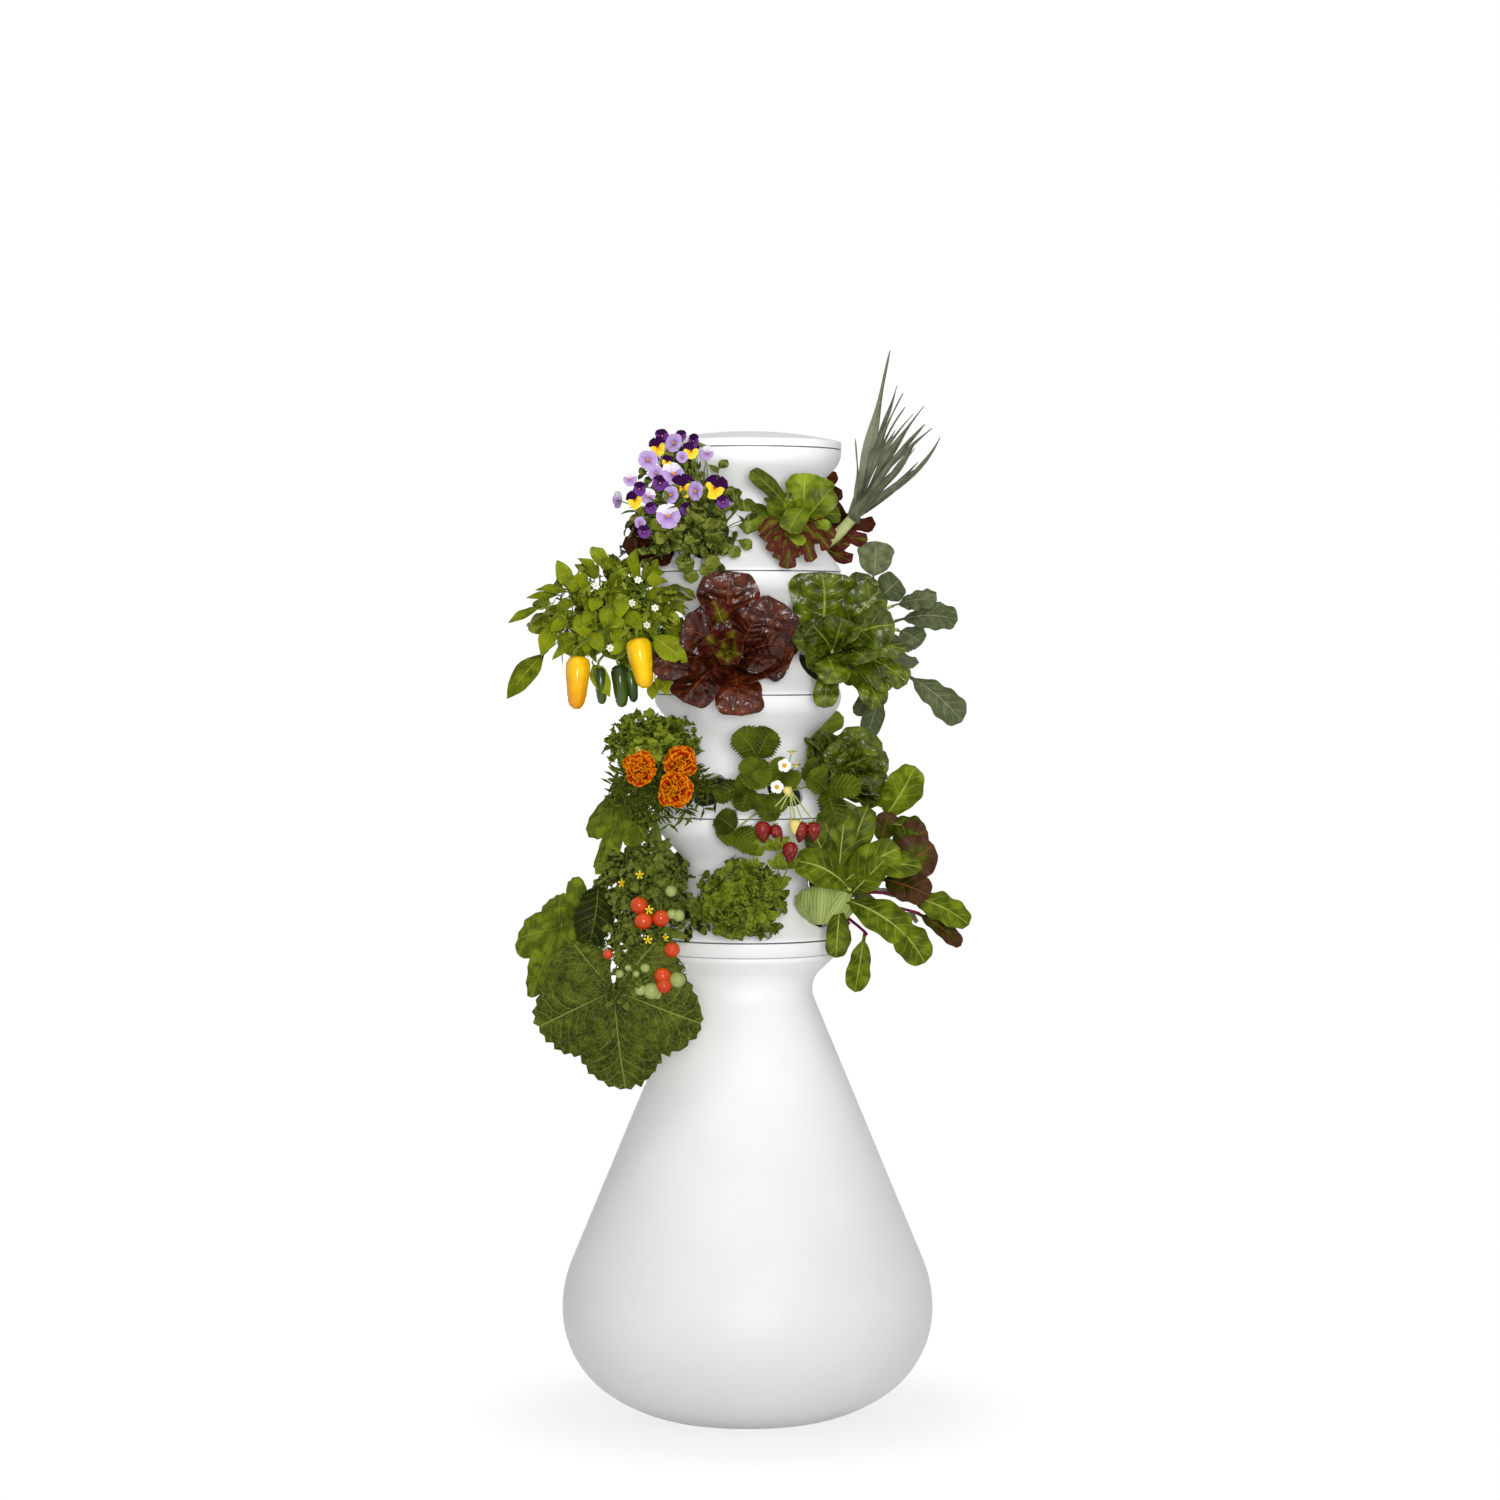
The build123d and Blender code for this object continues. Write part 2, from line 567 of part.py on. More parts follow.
with BuildPart() as reservoir:
    with BuildSketch(Plane.XZ):
        with BuildLine():
            sole = CenterArc(SOLE_CENTRE, SOLE_ROUND, -SOLE_TURN, SOLE_TURN - BELLY_TURN)
            Line((0, 0), sole @ 0)
            CenterArc(UNDER_CENTRE, BELLY_ROUND_UNDER, -BELLY_TURN, BELLY_TURN)
            CenterArc((RESERVOIR_RADIUS - BELLY_ROUND_OVER, BELLY_HEIGHT), BELLY_ROUND_OVER, 0, CONE_ANGLE)
            FilletPolyline(
                CONE_FOOT,
                (THROAT_RADIUS, THROAT_HEIGHT),
                (MOUTH_RADIUS, FLARE_TOP),
                (MOUTH_RADIUS, MOUTH_HEIGHT),
                radius=(THROAT_ROUND, MOUTH_ROUND),
            )
            offset(amount=RESERVOIR_WALL, side=Side.LEFT)
        make_face()
    revolve(axis=Axis.Z)
    with BuildSketch(FILL_PLANE.offset(-PAD_ROOT)):
        Circle(FILL_RADIUS + PAD_BORDER)
    extrude(amount=PAD_ROOT + PAD_RISE)
    with BuildSketch(CORD_PLANE.offset(-PAD_ROOT)):
        Circle(GROMMET_HOLE + PAD_BORDER)
    extrude(amount=PAD_ROOT + PAD_RISE)
    with BuildSketch(FILL_PLANE.offset(-2 * PAD_ROOT)):
        Circle(FILL_RADIUS)
    extrude(amount=4 * PAD_ROOT, mode=Mode.SUBTRACT)
    with BuildSketch(CORD_PLANE.offset(-2 * PAD_ROOT)):
        Circle(GROMMET_HOLE)
    extrude(amount=4 * PAD_ROOT, mode=Mode.SUBTRACT)

save(reservoir.part, "reservoir")

# Fill plug: a tapered bung with a flange and a bar to pull it by
with BuildPart() as fill_plug:
    with BuildSketch(FILL_PLANE.offset(PAD_RISE)):
        Circle(FILL_RADIUS - FILL_CLEARANCE)
    with BuildSketch(FILL_PLANE.offset(PAD_RISE - FILL_DEPTH)):
        Circle(FILL_RADIUS - FILL_CLEARANCE - FILL_TAPER)
    loft()
    with BuildSketch(FILL_PLANE.offset(PAD_RISE)):
        Circle(FILL_RADIUS + FILL_FLANGE_BORDER)
    extrude(amount=FILL_FLANGE)
    with BuildSketch(FILL_PLANE.offset(PAD_RISE + FILL_FLANGE)):
        RectangleRounded(PULL_LENGTH, PULL_WIDTH, PULL_ROUND)
    extrude(amount=PULL_HEIGHT)

save(fill_plug.part, "fill_plug")

# Cord grommet: a soft ring with a lip on both sides of the pad
with BuildPart() as cord_grommet:
    for low, high, radius in (
        (-PAD_ROOT - GROMMET_LIP, -PAD_ROOT, GROMMET_HOLE + GROMMET_BORDER),
        (-PAD_ROOT, PAD_RISE, GROMMET_HOLE),
        (PAD_RISE, PAD_RISE + GROMMET_LIP, GROMMET_HOLE + GROMMET_BORDER),
    ):
        with BuildSketch(CORD_PLANE.offset(low)):
            Circle(radius)
            Circle(GROMMET_BORE, mode=Mode.SUBTRACT)
        extrude(amount=high - low)

save(cord_grommet.part, "cord_grommet")

# Collar ring: locates in the reservoir's mouth and carries the turning tower in a step
COLLAR_TOP = TOWER_FOOT - TURN_GAP
STEP_RADIUS = SPIGOT_RADIUS + TURN_CLEARANCE
STEP_HEIGHT = TOWER_FOOT - SPIGOT_DEPTH - TURN_CLEARANCE
COLLAR_FIT = MOUTH_RADIUS - RESERVOIR_WALL - COLLAR_CLEARANCE
COLLAR_EDGE = COLLAR_TOP - COLLAR_LAND

with BuildPart() as collar_ring:
    with BuildSketch(Plane.XZ):
        with BuildLine():
            middle = ((MOUTH_RADIUS + RIM_RADIUS) / 2 + COLLAR_BULGE, (MOUTH_HEIGHT + COLLAR_EDGE) / 2)
            ThreePointArc((MOUTH_RADIUS, MOUTH_HEIGHT), middle, (RIM_RADIUS, COLLAR_EDGE))
            Polyline(
                (RIM_RADIUS, COLLAR_EDGE),
                (RIM_RADIUS, COLLAR_TOP),
                (STEP_RADIUS, COLLAR_TOP),
                (STEP_RADIUS, STEP_HEIGHT),
                (COLLAR_BORE, STEP_HEIGHT),
                (COLLAR_BORE, MOUTH_HEIGHT - COLLAR_SPIGOT),
                (COLLAR_FIT, MOUTH_HEIGHT - COLLAR_SPIGOT),
                (COLLAR_FIT, MOUTH_HEIGHT),
                (MOUTH_RADIUS, MOUTH_HEIGHT),
            )
        make_face()
    revolve(axis=Axis.Z)

save(collar_ring.part, "collar_ring")

# Riser: pipes that meet at the seams inside couplers, from the pump's outlet to the spray cap
save(tube(RISER_RADIUS, RISER_BORE, PUMP_TOP, TOWER_FOOT), "riser_lower")
RISER_ENDS = SEAMS[:-1] + [RISER_TOP]
for number in range(1, TIER_COUNT + 1):
    save(tube(RISER_RADIUS, RISER_BORE, RISER_ENDS[number - 1], RISER_ENDS[number]), f"riser_tube_{number}")

COUPLER_BORE = RISER_RADIUS + COUPLER_CLEARANCE
coupler = tube(COUPLER_BORE + COUPLER_WALL, COUPLER_BORE, -COUPLER_LENGTH / 2, COUPLER_LENGTH / 2)
with BuildPart() as riser_couplers:
    with Locations(*[(0, 0, seam) for seam in SEAMS[:-1]]):
        add(coupler)

save(riser_couplers.part, "riser_couplers")

# Spray cap: a slotted drum on the riser's top
with BuildPart() as spray_cap:
    with BuildSketch(Plane.XZ):
        block((COUPLER_BORE, -SPRAY_SOCKET), (COUPLER_BORE + SPRAY_WALL, SPRAY_WALL))
        block((RISER_BORE, 0), (SPRAY_RADIUS, SPRAY_WALL))
        block((SPRAY_RADIUS - SPRAY_WALL, 0), (SPRAY_RADIUS, SPRAY_SKIRT))
        block((0, SPRAY_SKIRT - SPRAY_WALL), (SPRAY_RADIUS, SPRAY_SKIRT))
    revolve(axis=Axis.Z)
    with BuildSketch(Plane.XY.offset(SPRAY_WALL)):
        with PolarLocations(SPRAY_RADIUS, SPRAY_SLOTS):
            Rectangle(4 * SPRAY_WALL, SPRAY_SLOT_WIDTH)
    extrude(amount=SPRAY_SLOT_HEIGHT, mode=Mode.SUBTRACT)

save(spray_cap.part.moved(Location((0, 0, RISER_TOP))), "spray_cap")

# Pump body: a block on four feet, its impeller chamber open to the front, its outlet in the axis
with BuildPart() as pump_body:
    with BuildSketch(Plane.XY.offset(PUMP_FOOT)):
        RectangleRounded(PUMP_WIDTH, PUMP_LENGTH, PUMP_ROUND)
    extrude(amount=PUMP_HEIGHT)
    with BuildSketch(Plane.XY.offset(PUMP_TOP)):
        Circle(RISER_BORE - OUTLET_CLEARANCE)
    extrude(amount=OUTLET_LENGTH)
    with BuildSketch(Plane.XY.offset(PUMP_TOP + OUTLET_LENGTH)):
        Circle(OUTLET_BORE)
    extrude(amount=ROTOR_HEIGHT + PASSAGE_RISE - PUMP_TOP - OUTLET_LENGTH, mode=Mode.SUBTRACT)
    with BuildSketch(Plane.XZ.offset(-PUMP_FRONT)):
        with Locations((0, ROTOR_HEIGHT)):
            Circle(CHAMBER_RADIUS)
    extrude(amount=-CHAMBER_DEPTH, mode=Mode.SUBTRACT)
    with BuildSketch(Plane.XZ.offset(-CHAMBER_BACK)):
        with Locations((0, ROTOR_HEIGHT)):
            Circle(SHAFT_RADIUS)
    extrude(amount=-SHAFT_SEAT, mode=Mode.SUBTRACT)
    with BuildSketch(Plane.XZ.offset(-CHAMBER_BACK)):
        with Locations((0, ROTOR_HEIGHT + PASSAGE_RISE)):
            Circle(PASSAGE_RADIUS)
    extrude(amount=CHAMBER_BACK, mode=Mode.SUBTRACT)

save(pump_body.part, "pump_body")

with BuildPart() as pump_feet:
    with BuildSketch(Plane.XY.offset(RESERVOIR_WALL)):
        with GridLocations(PUMP_WIDTH - 2 * FOOT_INSET, PUMP_LENGTH - 2 * FOOT_INSET, 2, 2):
            Circle(FOOT_RADIUS)
    extrude(amount=FOOT_HEIGHT)

save(pump_feet.part, "pump_feet")

# Impeller and its fixed shaft, drawn along -Y from the chamber's back
ROTOR_BACK = CHAMBER_BACK - ROTOR_END_GAP
ROTOR_FRONT = PUMP_FRONT + SHAFT_HEAD_HEIGHT + ROTOR_END_GAP
ROTOR_RADIUS = CHAMBER_RADIUS - ROTOR_CLEARANCE

with BuildPart() as impeller_shaft:
    for start, end, radius in (
        (CHAMBER_BACK + SHAFT_SEAT, PUMP_FRONT, SHAFT_RADIUS),
        (PUMP_FRONT + SHAFT_HEAD_HEIGHT, PUMP_FRONT, SHAFT_HEAD),
    ):
        with BuildSketch(Plane.XZ.offset(-start)):
            with Locations((0, ROTOR_HEIGHT)):
                Circle(radius)
        extrude(amount=start - end)

save(impeller_shaft.part, "impeller_shaft")

with BuildPart() as pump_impeller:
    with BuildSketch(Plane.XZ.offset(-ROTOR_BACK)):
        with Locations((0, ROTOR_HEIGHT)):
            Circle(ROTOR_RADIUS)
    extrude(amount=ROTOR_PLATE)
    with BuildSketch(Plane.XZ.offset(-ROTOR_BACK)):
        with Locations((0, ROTOR_HEIGHT)):
            Circle(HUB_RADIUS)
            with PolarLocations(ROTOR_RADIUS / 2, VANE_COUNT):
                Rectangle(ROTOR_RADIUS - VANE_THICKNESS, VANE_THICKNESS)
    extrude(amount=ROTOR_BACK - ROTOR_FRONT)
    with BuildSketch(Plane.XZ.offset(-ROTOR_BACK)):
        with Locations((0, ROTOR_HEIGHT)):
            Circle(SHAFT_RADIUS + SHAFT_CLEARANCE)
    extrude(amount=ROTOR_BACK - ROTOR_FRONT, mode=Mode.SUBTRACT)

save(pump_impeller.part, "pump_impeller")

# Strainer: a slotted box over the chamber's mouth
STRAINER_WIDTH = PUMP_WIDTH - 2 * STRAINER_MARGIN
STRAINER_HEIGHT = PUMP_HEIGHT - 2 * STRAINER_MARGIN

with BuildPart() as pump_strainer:
    with BuildSketch(Plane.XZ.offset(-PUMP_FRONT)):
        with Locations((0, ROTOR_HEIGHT)):
            Rectangle(STRAINER_WIDTH, STRAINER_HEIGHT)
    extrude(amount=STRAINER_DEPTH)
    with BuildSketch(Plane.XZ.offset(-PUMP_FRONT)):
        with Locations((0, ROTOR_HEIGHT)):
            Rectangle(STRAINER_WIDTH - 2 * STRAINER_WALL, STRAINER_HEIGHT - 2 * STRAINER_WALL)
    extrude(amount=STRAINER_DEPTH - STRAINER_WALL, mode=Mode.SUBTRACT)
    with BuildSketch(Plane.XZ.offset(STRAINER_DEPTH - PUMP_FRONT)):
        with Locations((0, ROTOR_HEIGHT)):
            with GridLocations(STRAINER_WIDTH / (STRAINER_SLOTS + 1), 0, STRAINER_SLOTS, 1):
                Rectangle(STRAINER_SLOT_WIDTH, STRAINER_HEIGHT - 4 * STRAINER_WALL)
    extrude(amount=-2 * STRAINER_WALL, mode=Mode.SUBTRACT)

save(pump_strainer.part, "pump_strainer")


def outline(length, width, stalk):
    """Half outline of a flat leaf that lies along X from its root, as places and half widths."""
    slim = STALK_WIDTH / 2
    blade = length * (1 - stalk)
    wide = max(width / 2, slim)
    start = length * stalk
    return (
        (0, slim),
        (start, slim),
        (start + blade * 0.35, wide * 0.92),
        (start + blade * 0.65, wide),
        (start + blade * 0.9, max(wide * 0.5, slim)),
        (length, slim),
    )


def leaf_sketch(half):
    """Closed leaf from its half outline."""
    Polygon(*half, *[(along, -across) for along, across in reversed(half)], align=None)


def fan_plane(root, azimuth, spray):
    """Plane of a flat fan, its X axis towards the middle leaf's tip and its Y axis level."""
    level = outward(azimuth)
    middle = level * spray.reach + Vector(0, 0, spray.rise)
    return Plane(origin=root, x_dir=middle, z_dir=middle.cross(outward(azimuth + 90)))


# Plants: each one stands on its grow plug, a fan of leaves flat and a single leaf bent at its middle
for name, (number, azimuth, sprays) in PLANTS.items():
    seat = port_plane(azimuth, SEAMS[number - 1]).offset(PLUG_RISE - LEDGE_DEPTH)
    root = seat.origin + seat.z_dir * (CROWN_HEIGHT - ROOT_DEPTH)
    heads = []
    with BuildPart() as plant:
        with BuildSketch(seat):
            Circle(CROWN_RADIUS)
        extrude(amount=CROWN_HEIGHT)
        for spray in sprays:
            plane = fan_plane(root, azimuth + spray.turn, spray)
            length = hypot(spray.reach, spray.rise)
            turns = [spray.spread * ((index + 0.5) / spray.count - 0.5) for index in range(spray.count)]
            for turn in turns:
                place = Vector(length * cos(radians(turn)), length * sin(radians(turn)), 0)
                heads.append((spray, plane.from_local_coords(place)))
            if spray.droop == 0:
                with BuildSketch(plane):
                    for turn in turns:
                        with Locations(Location((0, 0, 0), (0, 0, turn))):
                            leaf_sketch(outline(length, spray.width, spray.stalk))
            else:
                knee = Vector(length / 2, 0, length / 2 * tan(radians(spray.droop) / 4))
                near = knee.length
                half = outline(2 * near, spray.width, spray.stalk)
                middle = (near, half[2][1] if spray.stalk < 0.5 else half[0][1])
                bend = plane.from_local_coords(knee)
                reach = plane.from_local_coords(Vector(length, 0, 0))
                level = plane.y_dir
                with BuildSketch(Plane(origin=root, x_dir=bend - root, z_dir=(bend - root).cross(level))):
                    leaf_sketch([point for point in half if point[0] < near] + [middle])
                with BuildSketch(Plane(origin=bend, x_dir=reach - bend, z_dir=(reach - bend).cross(level))):
                    leaf_sketch([(0, middle[1])] + [(x - near, y) for x, y in half if x > near])
        extrude(amount=LEAF_THICKNESS / 2, both=True, clean=False)
        for spray, tip in heads:
            if spray.drop:
                with Locations(tip - Vector(0, 0, spray.drop / 2)):
                    Cone(spray.head / 2, spray.head, spray.drop)
            elif spray.head:
                with Locations(tip):
                    Sphere(spray.head)
    save(plant.part, name)
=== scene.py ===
import json
from dataclasses import dataclass, replace
from math import atan2, cos, hypot, pi, radians, sin

import bpy
import numpy as np
from mathutils import Matrix


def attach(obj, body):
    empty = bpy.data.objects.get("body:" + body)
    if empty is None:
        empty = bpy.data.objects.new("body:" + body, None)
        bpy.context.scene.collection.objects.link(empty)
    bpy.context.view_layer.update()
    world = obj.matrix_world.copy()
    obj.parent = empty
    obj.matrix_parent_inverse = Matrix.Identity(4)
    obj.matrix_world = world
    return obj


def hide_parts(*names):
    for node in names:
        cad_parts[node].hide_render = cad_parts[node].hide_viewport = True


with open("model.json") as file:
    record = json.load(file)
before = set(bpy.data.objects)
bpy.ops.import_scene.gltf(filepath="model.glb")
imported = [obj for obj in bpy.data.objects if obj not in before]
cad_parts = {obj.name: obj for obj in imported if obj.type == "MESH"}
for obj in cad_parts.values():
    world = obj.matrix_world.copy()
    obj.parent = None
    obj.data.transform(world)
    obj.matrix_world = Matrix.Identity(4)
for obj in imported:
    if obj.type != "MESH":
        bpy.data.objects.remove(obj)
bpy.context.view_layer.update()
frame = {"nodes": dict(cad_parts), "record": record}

# The tower's own places, in metres, as the solids have them.
TOWER_FOOT = 0.666
TIER_PITCH = 0.170
PORT_RADIUS = 0.1058
PORT_RISE = 0.040
PORT_TILT = 35
PLUG_DEPTH = 0.005
RIM_RADIUS = 0.131
SEAM_GAP = 0.0018
COLLAR_FOOT = 0.6455

# The stage: the world's own light, how white the floor shows at the foot, and where it is all white.
WORLD_LIGHT = 0.38
FOOT_WHITE = 0.8
SHADOW_REACH = (0.22, 0.42)

# The photograph's viewpoint.
CAMERA_PLACE = np.array([0.0035, -5.243, 1.082])
CAMERA_DIP = 1.68
CAMERA_LENS = 89.88
SENSOR = 36
IMAGE = 1500

UP = np.array([0.0, 0.0, 1.0])
TOWARDS_VIEWER = np.array([0.0, -1.0, 0.0])
VIEW_AXES = (np.array([1.0, 0, 0]), TOWARDS_VIEWER, UP)
# Most leaves in view face the viewer and a little up.
LEAF_FACE = np.array([0.0, -1.0, 0.45])

# The golden angle, in radians, spreads leaves and petals evenly. Most leaves of a bush lie on its front.
GOLDEN_ANGLE = 2.39996
FRONT_SHARE = 0.65
MARIGOLD_PETALS = 72

# In degrees: how far round its stalk a palm leaf reaches, where it narrows, and which edges are sharp.
PALM_SWEEP = 168
PALM_SINUS = 105
SHARP_RIM = 62


def unit(vector):
    vector = np.asarray(vector, float)
    return vector / np.linalg.norm(vector)


def sighted(column, row, depth):
    """The point seen at a pixel of the photograph, on the upright plane at that depth."""
    dip = radians(CAMERA_DIP)
    scale = SENSOR / CAMERA_LENS / IMAGE
    across = (column - IMAGE / 2) * scale
    above = (IMAGE / 2 - row) * scale
    ray = np.array([across, cos(dip) + above * sin(dip), above * cos(dip) - sin(dip)])
    return CAMERA_PLACE + ray * (depth - CAMERA_PLACE[1]) / ray[1]


def shade(red, green, blue):
    """A colour as a screen shows it, made linear for the shaders."""
    linear = []
    for level in (red, green, blue):
        share = level / 255
        linear.append(share / 12.92 if share < 0.04045 else ((share + 0.055) / 1.055) ** 2.4)
    return (*linear, 1.0)


class Value:
    """What a shader socket gives. Sums on values become Math nodes."""

    def __init__(self, finish, socket):
        self.finish = finish
        self.socket = socket

    def other(self, name):
        return Value(self.finish, self.socket.node.outputs[name])

    def maths(self, operation, *terms):
        return self.finish.node("ShaderNodeMath", {"operation": operation}, dict(enumerate(terms)))

    def __add__(self, term):
        return self.maths("ADD", self, term)

    def __sub__(self, term):
        return self.maths("SUBTRACT", self, term)

    def __rsub__(self, term):
        return self.maths("SUBTRACT", term, self)

    def __mul__(self, term):
        return self.maths("MULTIPLY", self, term)

    def __pow__(self, term):
        return self.maths("POWER", self, term)

    def __mod__(self, term):
        return self.maths("FLOORED_MODULO", self, term)

    def __abs__(self):
        return self.maths("ABSOLUTE", self)

    __radd__ = __add__

    def larger(self, term):
        return self.maths("MAXIMUM", self, term)

    def ramp(self, low, high):
        """0 below low, 1 above high, smooth between."""
        return self.finish.node("ShaderNodeMapRange", {"interpolation_type": "SMOOTHSTEP"},
                                {"Value": self, "From Min": low, "From Max": high})


class Shades:
    """A node tree that is built node by node."""

    def __init__(self, tree):
        self.tree = tree

    def node(self, kind, settings=None, sockets=None):
        made = self.tree.nodes.new(kind)
        for key, setting in (settings or {}).items():
            setattr(made, key, setting)
        for key, given in (sockets or {}).items():
            self.feed(made.inputs[key], given)
        return Value(self, made.outputs[0])

    def feed(self, socket, given):
        if isinstance(given, Value):
            self.tree.links.new(given.socket, socket)
        else:
            socket.default_value = given

    def looked_at(self):
        """1 where the camera sees it, straight, mirrored or through glass, and 0 for the light it gives."""
        rays = self.node("ShaderNodeLightPath")
        mirrored = rays.other("Is Camera Ray").larger(rays.other("Is Glossy Ray"))
        return mirrored.larger(rays.other("Is Transmission Ray"))


class Finish(Shades):
    """One material on a Principled shader."""

    def __init__(self, name, **constants):
        self.material = bpy.data.materials.new(name)
        self.material.use_nodes = True
        super().__init__(self.material.node_tree)
        self.shader = self.tree.nodes["Principled BSDF"]
        for socket, value in constants.items():
            self.shader.inputs[socket.replace("_", " ")].default_value = value

    def set(self, socket, given):
        self.feed(self.shader.inputs[socket], given)

    def place(self):
        return self.node("ShaderNodeTexCoord").other("Object")

    def noise(self, scale, detail=3.0, roughness=0.55):
        return self.node("ShaderNodeTexNoise", {},
                         {"Vector": self.place(), "Scale": scale, "Detail": detail, "Roughness": roughness})

    def attribute(self, name):
        return self.node("ShaderNodeAttribute", {"attribute_name": name})

    def mix(self, share, first, second):
        made = self.node("ShaderNodeMix", {"data_type": "RGBA"}, {"Factor": share, 6: first, 7: second})
        return made.other(2)

    def bump(self, height, strength, distance):
        self.set("Normal", self.node(
            "ShaderNodeBump", {}, {"Height": height, "Strength": strength, "Distance": distance}))


def leaf_finish(name, tones, rough=0.5, ribs=8, vein_width=0.05, side_veins=0.5,
                blotch=None, pucker=0.0, cell=60.0, ridge=0.3, gloss=0.05, slant=1.5, net=0.0, stripes=0):
    """A leaf: veins from its UV map, mottling, puckers, and painted shade towards its base and in its
    creases. Its tones are light, dark, vein and underside.
    """
    light, dark, vein, back = (shade(*bytes.fromhex(tone)) for tone in tones.split())
    finish = Finish(name, Specular_IOR_Level=gloss)
    uv = finish.node("ShaderNodeUVMap", {"uv_map": "leaf"})
    axes = finish.node("ShaderNodeSeparateXYZ", {}, {"Vector": uv})
    along = axes.other("Y")
    across = abs(axes * 2 - 1)
    mottle = finish.noise(48)
    midrib = 1 - (across + along * vein_width * 0.7).ramp(vein_width * 0.4, vein_width * 1.5)
    phase = (along * ribs - across * slant + (mottle - 0.5) * 0.7) % 1
    line = abs(phase * 2 - 1)
    side = (1 - line.ramp(0.01, 0.16)) * (1 - across.ramp(0.45, 0.95)) * side_veins
    veins = midrib.larger(side)
    # Each leaf's tint moves it between the dark and light tones; for the leaves of a bush it also carries
    # painted shade inside the bush.
    tint = finish.attribute("tint").other("Fac")
    colour = finish.mix(((mottle - 0.5) * 1.2 + tint).ramp(0.0, 1.0), dark, light)
    # Painted shade: each leaf darkens towards its base, where it sits in the shade of the plant.
    colour = finish.mix((1 - along.ramp(0.0, 0.55)) * 0.4, colour, dark)
    height = veins * -0.35 + line * ridge + finish.noise(300) * 0.2
    if stripes:
        furrow = abs((across * stripes) % 1 * 2 - 1).ramp(0.0, 0.4)
        colour = finish.mix((1 - furrow).larger(across.ramp(0.7, 1.0)) * 0.7, colour, dark)
        height = height + furrow * 0.6
    if pucker:
        bubble = finish.node("ShaderNodeTexVoronoi", {"feature": "SMOOTH_F1"},
                             {"Vector": finish.place(), "Scale": cell, "Smoothness": 0.5})
        # Painted shade: the creases between the puckers are darkened.
        crease = bubble.ramp(0.3, 0.7)
        colour = finish.mix(crease * 0.6, colour, dark)
        height = height - bubble * pucker
    if net:
        mesh = finish.node("ShaderNodeTexVoronoi", {"feature": "DISTANCE_TO_EDGE"},
                           {"Vector": finish.place(), "Scale": 1.6 * cell})
        colour = finish.mix((1 - mesh.ramp(0.01, 0.07)) * net, colour, vein)
    if blotch:
        edge = (across * 0.6 + along * 0.7 + finish.noise(28) * 0.8).ramp(0.95, 1.35)
        colour = finish.mix(edge, colour, blotch)
    colour = finish.mix(veins * 0.75, colour, vein)
    colour = finish.mix(finish.attribute("under").other("Fac") * 0.75, colour, back)
    finish.set("Base Color", colour)
    finish.set("Roughness", rough + (mottle - 0.5) * 0.25)
    finish.bump(height, 0.7, 0.0022)
    return finish.material


def painted_finish(name, rough, coat, grain, grain_scale, relief, specular):
    """Petals and fruit: colour painted on the mesh, with a fine mottle."""
    finish = Finish(name, Specular_IOR_Level=specular, Coat_Weight=coat, Coat_Roughness=0.12)
    paint = finish.attribute("paint")
    mottle = finish.noise(grain_scale)
    darker = finish.node("ShaderNodeHueSaturation", {}, {"Color": paint, "Value": 1 - grain,
                                                         "Saturation": 1.05})
    finish.set("Base Color", finish.mix(mottle.ramp(0.3, 0.7), paint, darker))
    finish.set("Roughness", rough + (mottle - 0.5) * 0.2)
    finish.bump(mottle, relief, 0.001)
    return finish.material


def berry_finish():
    """Strawberry skin: painted colour with straw-coloured seeds, each in its own dimple."""
    finish = Finish("strawberry_skin", Specular_IOR_Level=0.25, Coat_Weight=0.1, Coat_Roughness=0.15)
    paint = finish.attribute("paint")
    pits = finish.node("ShaderNodeTexVoronoi", {}, {"Vector": finish.place(), "Scale": 360.0,
                                                    "Randomness": 0.35})
    seed = 1 - pits.ramp(0.12, 0.2)
    finish.set("Base Color", finish.mix(seed, paint, shade(226, 190, 96)))
    finish.set("Roughness", 0.28 + finish.noise(120) * 0.15)
    finish.bump(pits.ramp(0.1, 0.5) + seed * 0.4, 0.5, 0.0012)
    return finish.material


def moulded_finish(name, colour, shadow, rough, relief=0.12, specular=0.4, seam_shade=None):
    """Moulded plastic: faint clouding, a satin skin with fine orange peel, and painted shade in the seam
    lines and along the collar's foot.
    """
    finish = Finish(name, Specular_IOR_Level=specular)
    cloud = finish.noise(7, 4)
    skin = finish.mix(cloud.ramp(0.25, 0.8), shadow, colour)
    if seam_shade:
        # Painted shade: the seam grooves between the tiers are coloured dark, as if in shadow.
        place = finish.node("ShaderNodeSeparateXYZ", {}, {"Vector": finish.place()})
        height, deep = place.other("Z"), place.other("Y")
        radius = (place * place + deep * deep) ** 0.5
        groove_shade = 1 - radius.ramp(RIM_RADIUS - 0.0012, RIM_RADIUS - 0.0004)
        groove_shade = groove_shade * radius.ramp(RIM_RADIUS - 0.0028, RIM_RADIUS - 0.0018)
        near = abs((height - TOWER_FOOT + TIER_PITCH / 2) % TIER_PITCH - TIER_PITCH / 2 - SEAM_GAP / 2)
        groove_shade = groove_shade * height.ramp(TOWER_FOOT - 0.03, TOWER_FOOT - 0.028)
        skin = finish.mix(groove_shade * (1 - near.ramp(0.0012, 0.002)), skin, seam_shade)
        # Painted shade: a dark line where the collar's foot meets the part below.
        skin = finish.mix((1 - abs(height - COLLAR_FOOT).ramp(0.0004, 0.0009)) * 0.7, skin, seam_shade)
    finish.set("Base Color", skin)
    finish.set("Roughness", rough + (finish.noise(24, 4) - 0.5) * 0.16)
    finish.bump(finish.noise(420, 2), relief, 0.0004)
    return finish.material


